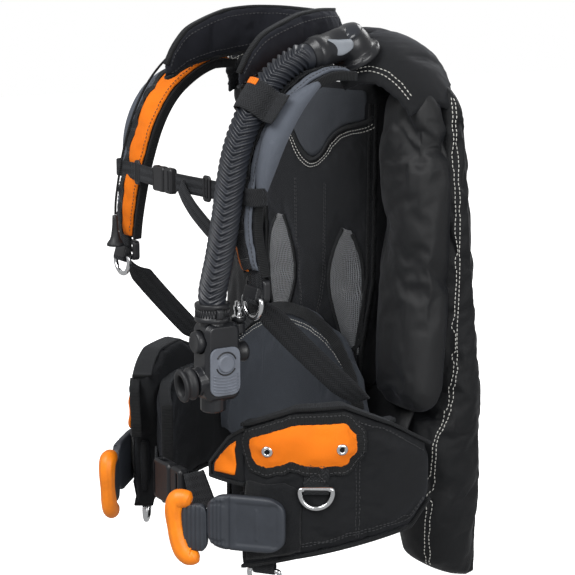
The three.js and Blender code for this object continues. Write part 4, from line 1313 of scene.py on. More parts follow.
t_row = np.linspace(ORANGE_FROM, ORANGE_TO, 40)
pins = [hip(t_row, orange_low(t_row)), hip(t_row, orange_high(t_row)),
    hip(RING_T, np.linspace(-192, -168, 10))]
t_row = np.linspace(0.02, 0.62, 60)
pins += [hip(t_row, pocket_bottom(t_row) + 3), hip(t_row, pocket_top(t_row) - 3)]
for t, low, high, count in ((0.625, -272, -132, 30), (0.25, -240, -120, 24), (0.42, -262, -180, 20)):
    pins.append(hip(t, np.linspace(low, high, count)))
puff(pocket, 4.5, 5, 4.5, 18, 0.06, pins, 7)
pocket_skin = Skin(pocket)
dress(pocket, CORDURA_SIM, replaces="cargo_pocket_left")
dress(mirrored(pocket, "pocket_body_right"), CORDURA_SIM, replaces="cargo_pocket_right")
for side in (LEFT, RIGHT):
    tag = SIDE_NAME[side]
    t = np.linspace(0.0, 0.625, 60)
    top_line = hip(t, pocket_top(t) + 0.5, -12)
    dress(ribbon("pocket_top_binding_" + tag, top_line, UP, 22, 3.6, side), BINDING)
    low_line = hip(t, pocket_bottom(t) - 0.5, -12)
    dress(ribbon("pocket_bottom_binding_" + tag, low_line, -UP, 22, 3.6, side), BINDING)
    tt = np.linspace(ORANGE_FROM, ORANGE_TO, 37)
    og = between(hip(tt, orange_low(tt), 4), hip(tt, orange_high(tt), 4), 17, 45)
    dress(patch("pocket_orange_" + tag, pocket_skin, og, 2.6, 0.2, side), ORANGE)
    loop = np.vstack([
        hip(tt, orange_low(tt) - 1, 5), hip(0.609, np.linspace(-150, -141, 3), 5),
        hip(tt[::-1], orange_high(tt[::-1]) + 3, 5), hip(0.246, np.linspace(-133, -147, 3), 5),
        hip(tt[:1], orange_low(tt[:1]) - 1, 5),
    ])
    spots, n_loop = pocket_skin.lay(resample(loop, 150), 1.4)
    dress(ribbon("pocket_orange_binding_" + tag, spots, n_loop, 11, 2.4, side), BINDING)
    across = unit(np.cross(along(spots), n_loop))
    loop_rows = [(spots - across * 2.6 + n_loop * 1.3, n_loop)]
    dress(stitches("pocket_orange_stitches_" + tag, loop_rows, side), BLACK_THREAD)
    for k, (te, ze) in enumerate(((0.31, -147), (0.53, -151))):
        spot, n_e = pocket_skin.lay(hip(np.array([te]), np.array([ze]), 5), 2.4)
        rim = [(2.6, -0.4), (2.6, 0.9), (3.2, 1.5), (4.4, 1.6), (5.4, 1.0), (6, 0.1), (5.8, -0.6)]
        dress(lathe(f"eyelet_{tag}_{k}", rim, spot[0], n_e[0], side, 36), STEEL)
        hole = [(0.1, 0.2), (2.7, 0.2), (2.7, -0.6), (0.1, -0.6)]
        dress(lathe(f"eyelet_hole_{tag}_{k}", hole, spot[0], n_e[0], side, 24), LINING)
    pile_t = np.linspace(0.43, 0.615, 21)
    pile_top = np.interp(pile_t, [0.43, 0.45, 0.6, 0.615], [-196, -187, -184, -188])
    pg = between(hip(pile_t, -262 - 60 * (pile_t - 0.43), 4), hip(pile_t, pile_top, 4), 15, 21)
    dress(patch("pocket_pile_" + tag, pocket_skin, pg, 2.0, 0.1, side), PILE)
    tab_z = np.linspace(-166, -186, 10)
    tab, n_tab = pocket_skin.lay(hip(np.full(10, RING_T), tab_z, 6), 1.2)
    tab = np.vstack([tab, hip(RING_T, np.array([-189.0, -192.4, -192.8, -189.5]),
        np.array([6.4, 4.6, 2.4, 1.4]))])
    face = hip_out(RING_T)
    n_tab = np.vstack([n_tab, face, unit(face * 0.5 - UP), unit(face * -0.5 - UP), -face])
    dress(ribbon("pocket_ring_tab_" + tag, tab, n_tab, 25, 1.8, side), WEB_BLACK)
    box_rows = []
    sideways = unit(np.cross(face, UP))
    f = np.linspace(0, 1, 9)[:, None]
    for dz0, dt0, dz1, dt1 in ((8, -10, 8, 10), (-6, -10, -6, 10), (8, -10, -6, 10), (8, 10, -6, -10)):
        seg = hip(RING_T, -174) + sideways * (dt0 + (dt1 - dt0) * f) + UP * (dz0 + (dz1 - dz0) * f)
        box_rows.append(pocket_skin.lay(seg + face * 6, 2.2))
    dress(stitches("pocket_tab_stitches_" + tag, box_rows, side, pitch=2.8, long=2.0), BLACK_THREAD)
    seam_t = np.linspace(0.02, 0.61, 30)
    rows = rows_on(pocket_skin, hip(seam_t, pocket_bottom(seam_t) + 9, 4), (0, 3.2), 0.2)
    rows += rows_on(pocket_skin, hip(np.full(8, 0.255), np.linspace(-246, -116, 8), 4), (-1.5, 1.5), 0.2)
    rows += rows_on(pocket_skin, hip(seam_t, pocket_top(seam_t) - 8, 4), (0,), 0.2)
    dress(stitches("pocket_stitches_" + tag, rows, side), BLACK_THREAD)
print("pockets done")

# %% [markdown]
# ### Front flaps
# A small padded flap with an orange corner in front of each pocket, above the weight handle.

# %% Front flaps above the weight handles
flap_g, flap_out = waist_grid(0.612, 0.735, lambda t: np.interp(t, [0.61, 0.735], [-190, -186]),
                              lambda t: np.interp(t, [0.61, 0.66, 0.735], [-131, -141, -172]), -4, 25, 19)
flap = slab("waist_flap_left", flap_g, flap_out, 9, rim=0.5, power=6)
puff(flap, 3.5, 3, 2, 10, 0.03, [flap_g[:, 0], flap_g[:, -1], flap_g[-1], flap_g[0]], 5)
flap_skin = Skin(flap)
dress(flap, CORDURA_SIM)
dress(mirrored(flap, "waist_flap_right"), CORDURA_SIM)
for side in (LEFT, RIGHT):
    tag = SIDE_NAME[side]
    t = np.linspace(0.638, 0.716, 15)
    flap_top = np.interp(t, [0.638, 0.66, 0.716], [-145, -149, -171])
    face = between(hip(t, np.full(15, -180), 6), hip(t, flap_top, 6), 11, 15)
    dress(patch("waist_flap_orange_" + tag, flap_skin, face, 2.2, 0.2, side), ORANGE)
    edge_binding("waist_flap_binding_" + tag, flap_g, 2, 11, 3.6, side)

# %% [markdown]
# ## Steel rings, webbing and frames
# Each D-ring hangs on a tab of webbing and swings with its own body.

# %% Rings and frames
def rounded_loop(w, h, r, count=72):
    """A rounded rectangle as a closed line of points in two dimensions."""
    r = min(r, w / 2, h / 2)
    parts = []
    for sx, sy, start in ((1, 1, 0), (-1, 1, 90), (-1, -1, 180), (1, -1, 270)):
        a = np.radians(start + np.linspace(0, 90, 9))
        parts.append(np.stack([sx * (w / 2 - r) + r * np.cos(a), sy * (h / 2 - r) + r * np.sin(a)], 1))
    loop = np.vstack(parts + [parts[0][:1]])
    return resample(loop, count + 1)[:-1]


def closed_tube(name, path, a_dir, ra, rb, side, sides):
    """A tube round a closed flat loop; a_dir is square to the loop's plane."""
    path = np.asarray(path, float)
    t = unit(np.roll(path, -1, 0) - np.roll(path, 1, 0))
    a = np.broadcast_to(unit(a_dir), path.shape)
    b = np.cross(t, a)
    th = np.linspace(0, 2 * np.pi, sides, endpoint=False)
    ring = a[:, None] * (np.cos(th) * ra)[None, :, None] + b[:, None] * (np.sin(th) * rb)[None, :, None]
    return loft(name, path[:, None] + ring, side, closed=True)


def d_ring(kind, place, out, side):
    """A welded D-ring that hangs from its straight bar."""
    out = unit(out)
    h = unit(np.cross(out, [0, 0, 1.0]))
    half, radius, drop = 16.4, 16.4, 19.8
    arc = np.radians(np.linspace(0, 180, 41))
    bow = np.stack([half * np.cos(arc), -(drop - radius) - radius * np.sin(arc)], 1)
    corner = [(-half + 0.4, -0.6), (-half + 2.2, 0)]
    bar = np.stack([np.linspace(-half + 3, half - 3, 12), np.zeros(12)], 1)
    loop = np.vstack([bow, corner, bar, [(half - 2.2, 0), (half - 0.4, -0.6)]])
    loop = resample(np.vstack([loop, loop[:1]]), 110)[:-1]
    path = np.asarray(place, float) + loop[:, :1] * h + loop[:, 1:] * np.array([0, 0, 1.0])
    tag = f"{kind}_ring_{SIDE_NAME[side]}"
    ring = closed_tube(tag + "_steel", path, out, 2.6, 2.6, side, 16)
    return dress(ring, STEEL, tag, tag)


def bar_frame(name, place, w, h, body):
    """A moulded slide for webbing in the XZ plane: a rounded frame with an upright middle bar."""
    x_dir, bar = np.array([1.0, 0, 0]), 2.0
    loop = rounded_loop(w - 2 * bar, h - 2 * bar, 2.4)
    place = np.asarray(place, float)
    path = place + loop[:, :1] * x_dir + loop[:, 1:] * UP
    frame_tube = closed_tube(name, path, np.cross(x_dir, UP), bar * 0.8, bar, LEFT, 12)
    dress(frame_tube, PLASTIC, body)
    line = place + UP * np.linspace(-(h / 2 - bar), h / 2 - bar, 8)[:, None]
    dress(tube(name + "_bar", line, bar * 0.7, LEFT, 10), PLASTIC, body)


SHOULDER_RING, POCKET_RING, HEM_RING = (142, -224,
    6), tuple(hip(RING_T, -188, 3.8)), tuple(hip(HEM_T, -282, -13))
for side in (LEFT, RIGHT):
    tag = SIDE_NAME[side]
    d_ring("shoulder", SHOULDER_RING, (0, -1, 0), side)
    d_ring("pocket", POCKET_RING, hip_out(RING_T), side)
    d_ring("hem", HEM_RING, hip_out(HEM_T), side)
    moulded("ladder_lock_" + tag, "ladder_buckle_" + tag, 0.7, 3, PLASTIC)
    loop = spline([
        [140, -221.5, 38], [142, -221, 14], [142, -226, 8], [142, -228.5, 5], [142, -226.5, 1.6],
            [142, -223, 2.2],
        [142, -219.6, 9], [140, -219, 38],
    ], 40)
    n_loop = unit(np.cross([1.0, 0, 0], along(loop)))
    dress(ribbon("shoulder_ring_tab_" + tag, loop, n_loop, 25, 1.7, side), WEB_BLACK)
    low = spline([[139, -215, 0], [143, -196, -22], [149, -166, -54], [156, -132, -88],
        [161, -106, -110]], 70)
    along_low = along(low)
    seen = unit(np.array([side * 0.83, -0.52, 0.19]))
    turn = np.interp(np.linspace(0, 1, 70), [0, 0.15, 0.8, 1], [0, 0.75, 0.75, 0.2])[:, None]
    flat_n = unit(np.cross(along_low, [0.93, 0.2, 0.1]))
    flat_n *= np.sign((flat_n * seen).sum(1, keepdims=True))
    seen_n = unit(seen - along_low * (along_low * seen).sum(1, keepdims=True))
    n_low = unit(flat_n * (1 - turn) + seen_n * turn)
    lower = ribbon("lower_strap_" + tag, low, n_low, 25, 1.9, side)
    dress(lower, WEB_WIDE, replaces="lower_webbing_" + tag)
    rise, away = np.array([12.0, 4, -3.4, 3, 12])[:, None], np.array([1.5, 4.2, 0, -4.2, -1.5])[:, None]
    hem = spline(HEM_RING + rise * UP + away * hip_out(HEM_T), 30)
    n_hem = unit(np.cross(along(hem), np.cross(hip_out(HEM_T), UP)))
    dress(ribbon("hem_ring_tab_" + tag, hem, n_hem, 24, 1.7, side), WEB_BLACK)

# %% [markdown]
# ### Waist and chest straps
# The male half of each buckle carries its own webbing, so that it leaves the female half with it. The chest
# strap is anchored by a wrap of webbing round each shoulder strap.

# %% Waist and chest straps
waist_line = spline([[60, -228, -209], [54, -231, -212], [48, -234, -214], [41, -238, -217],
    [35, -240, -219]], 30)
waist_n = unit(np.cross([0, 0, 1.0], along(waist_line)))
dress(ribbon("belt_left", waist_line, waist_n, 40, 2.4, LEFT), WEB_WIDE, "waist_male",
    "waist_webbing_left")
dress(ribbon("belt_right", waist_line, waist_n, 40, 2.4, RIGHT), WEB_WIDE, "vest",
    "waist_webbing_right")
for name in ("waist_buckle_female", "waist_buckle_male", "chest_buckle_female", "chest_buckle_male"):
    moulded(name + "_moulded", name, 0.6 if "chest" in name else 0.75, 3, PLASTIC)
chest_right = spline([[-104, -229, 106], [-84, -230, 106], [-60, -233, 106], [-42, -234, 106]], 40)
chest_left = spline([[6, -234, 106], [30, -233, 106], [60, -231, 106], [84, -229.5, 106]], 40)
dress(ribbon("chest_strap_right", chest_right, (0, -1, 0), 19, 1.8), WEB_BLACK, "vest",
    "chest_webbing_right")
dress(ribbon("chest_strap_left", chest_left, (0, -1, 0), 19, 1.8), WEB_BLACK, "chest_male",
    "chest_webbing_left")
tail_line = spline([[20, -236.5, 104], [34, -239, 95], [52, -240, 84], [70, -238.5, 73], [84, -236, 64]], 40)
dress(ribbon("chest_strap_tail", tail_line, (0, -1, 0), 18, 1.7), WEB_BLACK, "chest_male")
bar_frame("chest_slide", (66, -231.6, 106), 15, 27, "chest_male")
bar_frame("chest_keeper", (-88, -230.6, 106), 12, 27, "vest")
wrap = rounded_loop(44, 20, 8, 60)
for side in (LEFT, RIGHT):
    path = np.array([124, -218, 106.0]) + np.column_stack([1.15 * wrap[:, 0], wrap[:, 1], 0 * wrap[:, 0]])
    t = unit(np.roll(path, -1, 0) - np.roll(path, 1, 0))
    n = np.cross(UP, t)
    anchor = ribbon("chest_anchor_" + SIDE_NAME[side], np.vstack([path, path[:1]]), np.vstack([n, n[:1]]),
        18, 1.8, side)
    dress(anchor, WEB_BLACK)
print("webbing done")

# %% [markdown]
# ## Weight release: receiver, pull handle and pouch
# A rubber receiver plate stays on the vest. The tongue, the open orange handle and the cloth bag slide out
# along `draw`.

# %% Weight release
draw = unit(np.array([-0.73745, -0.6754, 0.0]))
pouch_out = unit(np.array([0.6754, -0.73745, 0.0]))
POUCH_PLACE = np.array([137.45, -191.91, -214.0])


def on_pouch(x, y, z):
    """A place given along the draw direction, inward, and up from the pouch's middle."""
    x, y, z = np.broadcast_arrays(np.asarray(x, float), np.asarray(y, float), np.asarray(z, float))
    return POUCH_PLACE + x[..., None] * draw - y[..., None] * pouch_out + z[..., None] * UP


def moulding(name, centre, half, y_mid, thick, relief, side, round_off=0.32, n=45):
    """A rubber plate with rounded corners on the pouch's face; relief(x, z) raises its outer face."""
    a, b = np.linspace(-1, 1, 61)[:, None], np.linspace(-1, 1, n)[None, :]
    x = centre[0] + half[0] * a * np.sqrt(1 - round_off * b**6)
    z = centre[1] + half[1] * b * np.sqrt(1 - round_off * a**6)
    raised = relief(x - centre[0], z - centre[1])
    p = on_pouch(x, y_mid - raised / 2, z)
    return slab(name, p, np.broadcast_to(pouch_out, p.shape), thick + raised, side, 0.45, 8)


def tongue_relief(x, z):
    """Upright ribs, 4.6 mm apart."""
    return 0.9 * (np.cos(x * 2 * np.pi / 4.6) > 0)


def receiver_relief(x, z):
    """A recessed field with an upright bar, a groove, four ribs in front of it, and a lip above and below."""
    field = (x > -34) & (x < 10) & (np.abs(z) < 22)
    ribs = np.where((x > 22) & (x < 38) & (np.abs(z) < 25), 1.6 * (np.cos((x - 22) * 2 * np.pi / 4) < 0), 0)
    groove = np.exp(-(((x - 18) / 1.6) ** 2)) * 2.2
    bars = np.where((np.abs(x + 12) < 1.2) & (np.abs(z) < 16), 0.8, 0)
    return ribs - groove - np.where(field, 0.9, 0) + bars + 0.8 * np.exp(-(((np.abs(z) - 26) / 3.0) ** 2))


for side in (LEFT, RIGHT):
    tag = SIDE_NAME[side]
    plate = moulding("receiver_plate_" + tag, (27, -13), (41, 29), -24, 9.0, receiver_relief, side)
    dress(plate, GREY_RUBBER, "vest", "weight_receiver_" + tag)
    body = "weight_pouch_" + tag
    tongue = moulding("pull_tongue_" + tag, (83, -22), (15, 25), -23, 8, tongue_relief, side, 0.3, 41)
    dress(tongue, GREY_RUBBER, body)
    bow = spline([
        [78, -51], [86, -53.5], [94, -49], [99, -38], [102.5, -22], [104, -6], [101, 5], [93, 7.5], [85, 5.5],
    ], 120)
    share = np.linspace(0, 1, 120)
    swell = np.interp(share, [0, 0.03, 0.12, 0.5, 0.85, 0.96, 1], [0.4, 0.82, 1.1, 0.95, 1.12, 0.95, 0.5])
    path = on_pouch(bow[:, 0], -24, bow[:, 1])
    tangent = along(path)
    outward = np.cross(tangent, pouch_out)
    rim_angle = np.linspace(0, 2 * np.pi, 36, endpoint=False)
    grip = np.interp(share, [0, 0.25, 0.35, 0.75, 0.85, 1], [0, 0, 1, 1, 0, 0])
    scale = swell[:, None] * (1 - 0.07 * grip[:, None] * (np.cos(rim_angle * 9) > 0.55))
    rings = path[:, None] + (pouch_out * np.cos(rim_angle)[:, None] * 8.4) * scale[..., None]
    rings = rings + outward[:, None] * (np.sin(rim_angle)[None, :] * 9.2 * scale)[..., None]
    handle = loft("pull_handle_" + tag, rings, side)
    dress(handle, ORANGE_RUBBER, body, body)
    x = np.linspace(-40, 40, 21)[:, None]
    z = np.linspace(-45, 12, 21)[None, :]
    grid = on_pouch(x, 0.0, z)
    bag = slab("pouch_bag_" + tag, grid, np.broadcast_to(pouch_out, grid.shape), 12, side, 0.4)
    dress(bag, CORDURA, body)
print("release done")

# %% [markdown]
# ## Hose, elbow and power inflator
# The hose is one curved piece between the vest and the inflator. Its radius is 13 + 1.4 w, where w is a
# sharpened cosine of (run / RIB_PITCH + CHEVRON_RISE * turn), so each rib rises into a chevron round the
# hose.

# %% Corrugated hose
HOSE_POINTS = [
    [121, -146, 238], [121.6, -159, 236], [123, -184, 222], [125, -207, 200], [126.5, -223, 174],
        [127, -234, 146],
    [127, -241, 112], [126, -246, 78], [123, -251, 44], [118.7, -255.6, 14], [118, -256, -4.5],
]
HOSE_ROWS, HOSE_SIDES = 900, 72
RIB_PITCH, CHEVRON_RISE, CHEVRON_TURN = 6.4, 4.0, 0.45
hose_path = spline(HOSE_POINTS, HOSE_ROWS)
hose_along = along(hose_path)
hose_run = lengths(hose_path)
hose_face = carried(hose_path, np.array(toward_camera))
hose_side = np.cross(hose_along, hose_face)
angle = np.linspace(-np.pi, np.pi, HOSE_SIDES, endpoint=False)
chevron = np.abs((angle - CHEVRON_TURN + np.pi) % (2 * np.pi) - np.pi) / np.pi
phase = hose_run[:, None] / RIB_PITCH + CHEVRON_RISE * chevron[None, :]
wave = np.cos(2 * np.pi * phase)
crest = np.sign(wave) * np.abs(wave) ** 0.7
plain = np.clip(np.minimum(hose_run, hose_run[-1] - hose_run) / 5 - 1.2, 0, 1)[:, None]
hose_radius = 13.0 + 1.4 * crest * plain
turned = np.cos(angle)[None, :, None] * hose_face[:, None] + np.sin(angle)[None, :, None] * hose_side[:, None]
hose = loft("inflator_hose", hose_path[:, None] + turned * hose_radius[..., None])
dress(hose, HOSE, None, ("hose_upper", "hose_lower"))
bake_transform(hose)
print("hose length mm:", round(float(hose_run[-1])))

# %% [markdown]
# ### Hose retainer
# A band of wide webbing round the hose, with an orange tab on its top edge.

# %% Hose retainer
at_row = int(0.27 * (HOSE_ROWS - 1))
centre, down = hose_path[at_row], hose_along[at_row]
front = -unit(np.cross([1.0, 0, 0], down))
arc = np.radians(np.linspace(0, 180, 31))
round_hose = 15.8 * np.stack([np.cos(arc), np.sin(arc)], 1)
local = np.vstack([[(31, -10.5), (23, -9.6), (17.5, -8), (16, -4)], round_hose, [(-16, -5), (-17.5, -9)]])
band = resample(centre + local[:, :1] * np.array([1.0, 0, 0]) + local[:, 1:] * front, 90)
n_band = unit(np.cross(down, along(band)))
n_band *= np.sign((n_band[45] * front).sum())
dress(ribbon("hose_band", band, n_band, 34, 2.2), WEB_WIDE, replaces="hose_retainer")
edge = band[42:56] + n_band[42:56] * 1.3 - down * 13
dress(ribbon("hose_band_orange_tab", edge, n_band[42:56], 7, 1.4), WEB_ORANGE)

# %% [markdown]
# ### Elbow
# Turned pieces: a shell on a notched foot ring, a smoky dome and a spigot towards the hose. A grey crescent
# badge lies on its outer side.

# %% Elbow
elbow_out = unit(np.array([0.05, -0.56, 0.83]))
elbow_foot = np.array([120, -86, 235.0])
elbow_heart = elbow_foot + elbow_out * 21
spigot = hose_path[0] - elbow_heart
shell = [(24.6, 0), (25, 1), (25, 5.2), (24.2, 6), (20, 7.6), (19.6, 9), (20, 14), (19.8, 19), (18.6, 24)]
shell += [(17, 27), (12, 31), (0.5, 33)]
shell = lathe("elbow_shell", shell, elbow_foot, elbow_out)
dress(shell, SATIN_PLASTIC, replaces="elbow")
dome = [(16.5, 26.5), (17.2, 27.2), (16.8, 30), (14.5, 33.2), (10, 35.6), (5, 36.6), (0.3, 36.8)]
dress(lathe("elbow_dome", dome, elbow_foot, elbow_out), SMOKE)
reach = float(np.linalg.norm(spigot))
neck = [(15.5, 0), (16.5, 12), (16.2, 18)]
for r, short in ((16.2, 17), (17.4, 16), (17.6, 8), (17, 6.5), (15.2, 5.5), (15, 1), (13.6, 0)):
    neck.append((r, reach - short))
dress(lathe("elbow_spigot", neck, elbow_heart, spigot), SATIN_PLASTIC)
side_a = unit(np.cross(elbow_out, UP))
side_b = np.cross(elbow_out, side_a)
NOTCHES = 14
for k in range(NOTCHES):
    a = 2 * math.pi * k / NOTCHES
    d = side_a * math.cos(a) + side_b * math.sin(a)
    spot = elbow_foot + d * 23.6 + elbow_out * 5.4
    notch = tube(f"elbow_notch_{k:02d}", [spot - d * 2.2, spot, spot + d * 1.2], 1.3, sides=8)
    dress(notch, SATIN_PLASTIC)
badge_out = unit(np.array([0.86, -0.45, -0.1]))
badge_x = unit(np.cross([0, 0, 1.0], badge_out))
badge_z = np.cross(badge_out, badge_x)
aa, bb = np.linspace(-1, 1, 31)[:, None], np.linspace(-1, 1, 21)[None, :]
moon_x = 14 * aa * np.sqrt(np.clip(1 - 0.45 * np.abs(bb) ** 3, 0, 1))
moon_z = 8 * bb * np.sqrt(np.clip(1 - 0.5 * aa**2, 0, 1)) + 3.0 * aa**2
moon_middle = elbow_heart + np.array([0, -14, -4]) + badge_out * 17.5
moon = moon_middle + moon_x[..., None] * badge_x + moon_z[..., None] * badge_z
badge = slab("elbow_badge", moon, np.broadcast_to(badge_out, moon.shape), 4, rim=0.4)
dress(badge, BADGE)

# %% [markdown]
# ### Power inflator
# The housing and the grip are moulded from the CAD solids. Ridges, arcs, the ribbed collar, both button
# caps, the oval mouthpiece and the steel nipple are built round them.

# %% Inflator
INF_X, INF_SPIGOT, INF_FRONT, INF_REAR, INF_HALF = 118, -256, -271, -232, 15
moulded("inflator_housing", "inflator_body", 0.6, 5, SATIN_PLASTIC)
moulded("inflator_grip", "inflator_insert", 0.5, 3, INSERT)
grip_face = INF_X + INF_HALF + 3.1
for k in range(6):
    y = np.linspace(-265.5, -237.5, 9)
    ridge = np.stack([np.full(9, grip_face), y, -71.5 - 3.1 * k + 0.012 * (y + 251) ** 2], 1)
    dress(tube(f"grip_ridge_{k}", ridge, 0.75, sides=8), INSERT, "inflator")
for k, (a0, a1) in enumerate(((20, 150), (200, 330))):
    q = np.radians(np.linspace(a0, a1, 21))
    arc_line = np.stack([np.full(21, grip_face), -251 + 11.4 * np.cos(q), -58 + 11.4 * np.sin(q)], 1)
    dress(tube(f"grip_arc_{k}", arc_line, 0.8, sides=8), BLACK_RUBBER, "inflator")
axis = np.array([INF_X, INF_SPIGOT, 0.0])
clamp = [
    (14.7, -17), (17.2, -17), (17.8, -16), (17.8, -12.5), (16.6, -12), (16.6, -4), (17.8, -3.4),
        (17.8, 0), (17.2, 1),
    (14.7, 1),
]
dress(lathe("hose_collar", clamp, axis, UP, sides=64), PLASTIC, "inflator", "hose_clamp")
COLLAR_RIBS = 36
for k in range(COLLAR_RIBS):
    a = 2 * math.pi * k / COLLAR_RIBS
    d = np.array([math.cos(a), math.sin(a), 0])
    line = axis + d * 16.6 + np.array([[0, 0, -12.0], [0, 0, -8], [0, 0, -4]])
    dress(tube(f"collar_rib_{k:02d}", line, 0.75, sides=6), PLASTIC, "inflator")
tab_at = axis + np.array([18.5, -2, -8])
tab_y, tab_z = np.linspace(-3.5, 3.5, 9)[:, None, None], np.linspace(-5, 5, 9)[None, :, None]
grid = tab_at + tab_y * np.array([0, 1.0, 0]) + tab_z * UP
tab = slab("collar_tab", grid, np.broadcast_to([1.0, 0, 0], grid.shape), 4, rim=0.4)
dress(tab, PLASTIC, "inflator")
button = np.array([INF_X, INF_FRONT, -37.0])
cap = [(11.2, -2.8), (11.3, 3), (10.8, 5.4), (9.4, 6.6), (7.4, 6.2), (0.5, 5.6)]
cap = lathe("inflate_cap", cap, button, (0, -1, 0), sides=56)
dress(cap, PLASTIC, "inflate_button", "inflate_button")
deflate = np.array([INF_X, INF_REAR, -52.0])
cap = [(9.8, -3.2), (9.9, 8), (10.6, 9), (10.6, 11.4), (9.6, 12.8), (7.6, 12.6), (0.5, 12.2)]
cap = lathe("deflate_cap", cap, deflate, (0, 1, 0), sides=56)
dress(cap, PLASTIC, "deflate_button", "deflate_button")
mouth_out = unit(np.array([0, -1, -0.12]))
mouth = np.array([INF_X, INF_FRONT - 6.4, -77.5])
a_mouth = np.array([1.0, 0, 0])
b_mouth = np.cross(mouth_out, a_mouth)
profile = [
    (9, 1), (13, 0.6), (14.2, 1.2), (15, 3), (15, 5.4), (13.4, 7.2), (12.8, 9), (13.4, 10.8),
        (15.2, 12.2), (15.4, 14),
    (14.6, 15.4), (12.6, 16), (10.6, 15.4), (9.6, 13), (9, 8),
]
th = np.linspace(0, 2 * np.pi, 56, endpoint=False)
oval = np.cos(th)[:, None] * a_mouth * 0.86 + np.sin(th)[:, None] * b_mouth * 1.1
rubber_ring = loft("mouthpiece_rubber", [mouth + mouth_out * h + oval * r for r, h in profile], closed=True)
dress(rubber_ring, BLACK_RUBBER, "inflator", "mouthpiece")
nipple = np.array([INF_X - 3, INF_REAR + 7.4, -22.2])
nipple_shape = [
    (6.4, 0), (6.5, 5.6), (5.8, 6.4), (4.2, 7), (4.2, 11.4), (5, 12.2), (5, 15.6), (4.4, 16.4), (3.6, 17),
        (3.5, 20.4),
    (2.6, 21), (0.4, 21),
]
dress(lathe("nipple_steel", nipple_shape, nipple, UP, sides=40), STEEL, "inflator", "hose_nipple")
nut = lathe("nipple_knurl", [(6.7, 0.8), (7.6, 1.4), (7.6, 4.6), (6.7, 5.2)], nipple, UP, sides=24)
dress(nut, PLASTIC, "inflator")
print("inflator done")

# %% [markdown]
# ## Dump valves, cords and knobs
# The right shoulder and the right wing each have a dump valve. A thin cord leads from it to a bell-shaped
# knob.

# %% Valves
KNOB_HEIGHT, VALVE_RIBS = 34.4, 18


def bell_knob(name, top, node, body):
    """A bell-shaped rubber pull with a long thin neck."""
    shape = [
        (1.6, KNOB_HEIGHT), (2.9, 34), (3.1, 30), (3.3, 24), (3.9, 18), (4.9, 11), (6.2, 7.4), (8.2, 4.8),
            (9.3, 3.2),
        (9.6, 1.8), (9.4, 0.4), (8.4, 0), (6.5, 0.8), (0.4, 1.2),
    ]
    knob = lathe(name, shape, np.asarray(top, float) - [0, 0, KNOB_HEIGHT], UP, RIGHT, 40)
    return dress(knob, BLACK_RUBBER, body, node)


def valve(kind, foot, out):
    """A dump valve: a flanged cup and a cap with ribs round it."""
    cup = [(22.6, 0), (23.4, 0.6), (24.2, 2.6), (24.2, 7.6), (23.4, 8.8), (21.6, 9), (21.4, 2.6), (0.5, 2.4)]
    cup = lathe(kind + "_cup", cup, foot, out, RIGHT, 56)
    dress(cup, SATIN_PLASTIC, replaces=kind + "_body")
    lift = np.asarray(foot, float) + unit(out) * 9.4
    cap = [(16.8, 0.2), (19.6, 0), (20.2, 1), (20.2, 6), (19, 8.2), (16, 9.8), (10, 10.8), (4, 11),
        (3.2, 10.2), (0.4, 10)]
    lid = lathe(kind + "_lid", cap, lift, out, RIGHT, 56)
    dress(lid, SATIN_PLASTIC, replaces=kind + "_cap")
    a = unit(np.cross(out, [0, 0, 1.0] if abs(out[2]) < 0.9 else [1.0, 0, 0]))
    b = np.cross(unit(out), a)
    for k in range(VALVE_RIBS):
        q = 2 * math.pi * k / VALVE_RIBS
        d = a * math.cos(q) + b * math.sin(q)
        line = lift + np.array([d * 19.9 + unit(out) * h for h in (1.2, 3.4, 5.8)])
        dress(tube(f"{kind}_rib_{k:02d}", line, 0.8, RIGHT, 6), SATIN_PLASTIC)


VALVE_FOOT = (116, -76, 246)
valve("shoulder_valve", VALVE_FOOT, tuple(elbow_out))
moulded("shoulder_valve_membrane", "shoulder_valve_disc", 0.6, 2, GREY_RUBBER)
knob = bell_knob("shoulder_knob", (125, -240.5, 55.6), "shoulder_pull_knob", "shoulder_pull")
pull_path = spline([
    [117, -106, 254], [119, -126, 250], [122, -150, 240], [125, -174, 224], [127, -196, 199],
        [128, -214, 165],
    [129, -226, 128], [129, -233, 96], [127, -238, 72], [125, -240, 56],
], 90)
cord = tube("shoulder_cord", pull_path, 1.35, RIGHT, 10)
dress(cord, WEB_BLACK, replaces="shoulder_pull_cord")
valve("rear_valve", (150, 41, -205), (0, 1, 0))
rear_knob = bell_knob("rear_knob", (150, 60, -262.4), "rear_pull_knob", "rear_pull")
rear_path = spline([[150, 56, -227], [150, 58.5, -235], [150, 60, -248], [150, 60, -262]], 30)
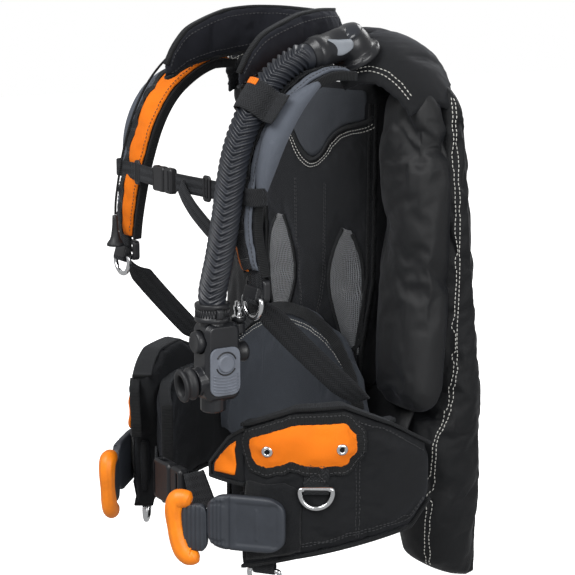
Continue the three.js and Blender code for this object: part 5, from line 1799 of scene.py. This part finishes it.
rear_cord = tube("rear_cord", rear_path, 1.35, RIGHT, 10)
dress(rear_cord, WEB_BLACK, replaces="rear_pull_cord")
print("valves done")

# %% [markdown]
# ## Backplate, tank band and cam buckle
# Moulded from their CAD solids, with the band as wide webbing through the plate's slots.

# %% Backplate and tank band
for name, voxel, paint in (("backplate", 1.6, PLASTIC), ("cam_buckle", 0.8, PLASTIC),
    ("cam_lever", 0.8, SATIN_PLASTIC)):
    moulded(name + "_moulded", name, voxel, 3, paint)
s_half, reach_y = 66, 62
band_points = [
    [-s_half + 20, -21.5], [0, -21.5], [s_half - 20, -21.5], [s_half - 3, -18.5], [s_half + 1.5, -10],
    [s_half + 6, 8], [s_half + 9, 30], [s_half - 6, 54], [s_half - 34, reach_y], [0, reach_y + 1],
    [-s_half + 34, reach_y], [-s_half + 6, 54], [-s_half - 9, 30], [-s_half - 6, 8], [-s_half - 1.5, -10],
    [-s_half + 3, -18.5], [-s_half + 16, -21.4],
]
band_path = spline([[x, y, 40] for x, y in band_points], 240)
band_n = unit(np.cross(along(band_path), UP))
dress(ribbon("tank_strap", band_path, band_n, 50, 2.4), WEB_WIDE, replaces="tank_band")
print("back done")

# %% [markdown]

# %% [markdown]
# ## Finish
# A pale floor that glows a little and casts no light on the vest.

# %% Floor and finish
FLOOR_HALF, FLOOR_Z = 6000, -336
corners = [(x * FLOOR_HALF, y * FLOOR_HALF, FLOOR_Z) for x, y in ((-1, -1), (1, -1), (1, 1), (-1, 1))]
floor = mesh_object("floor", corners, [(0, 1, 2, 3)])
floor_paint = Paint("pale floor", 0.9)
floor_paint.base(floor_paint.colour([(0, (0.92, 0.92, 0.92, 1)), (1, (0.97, 0.97, 0.97, 1))],
    floor_paint.noise(2)))
floor_paint.shader.inputs["Emission Color"].default_value = (1, 1, 1, 1)
floor_paint.shader.inputs["Emission Strength"].default_value = 0.85
floor.data.materials.append(floor_paint.material)
floor.visible_diffuse = False
floor.visible_glossy = False
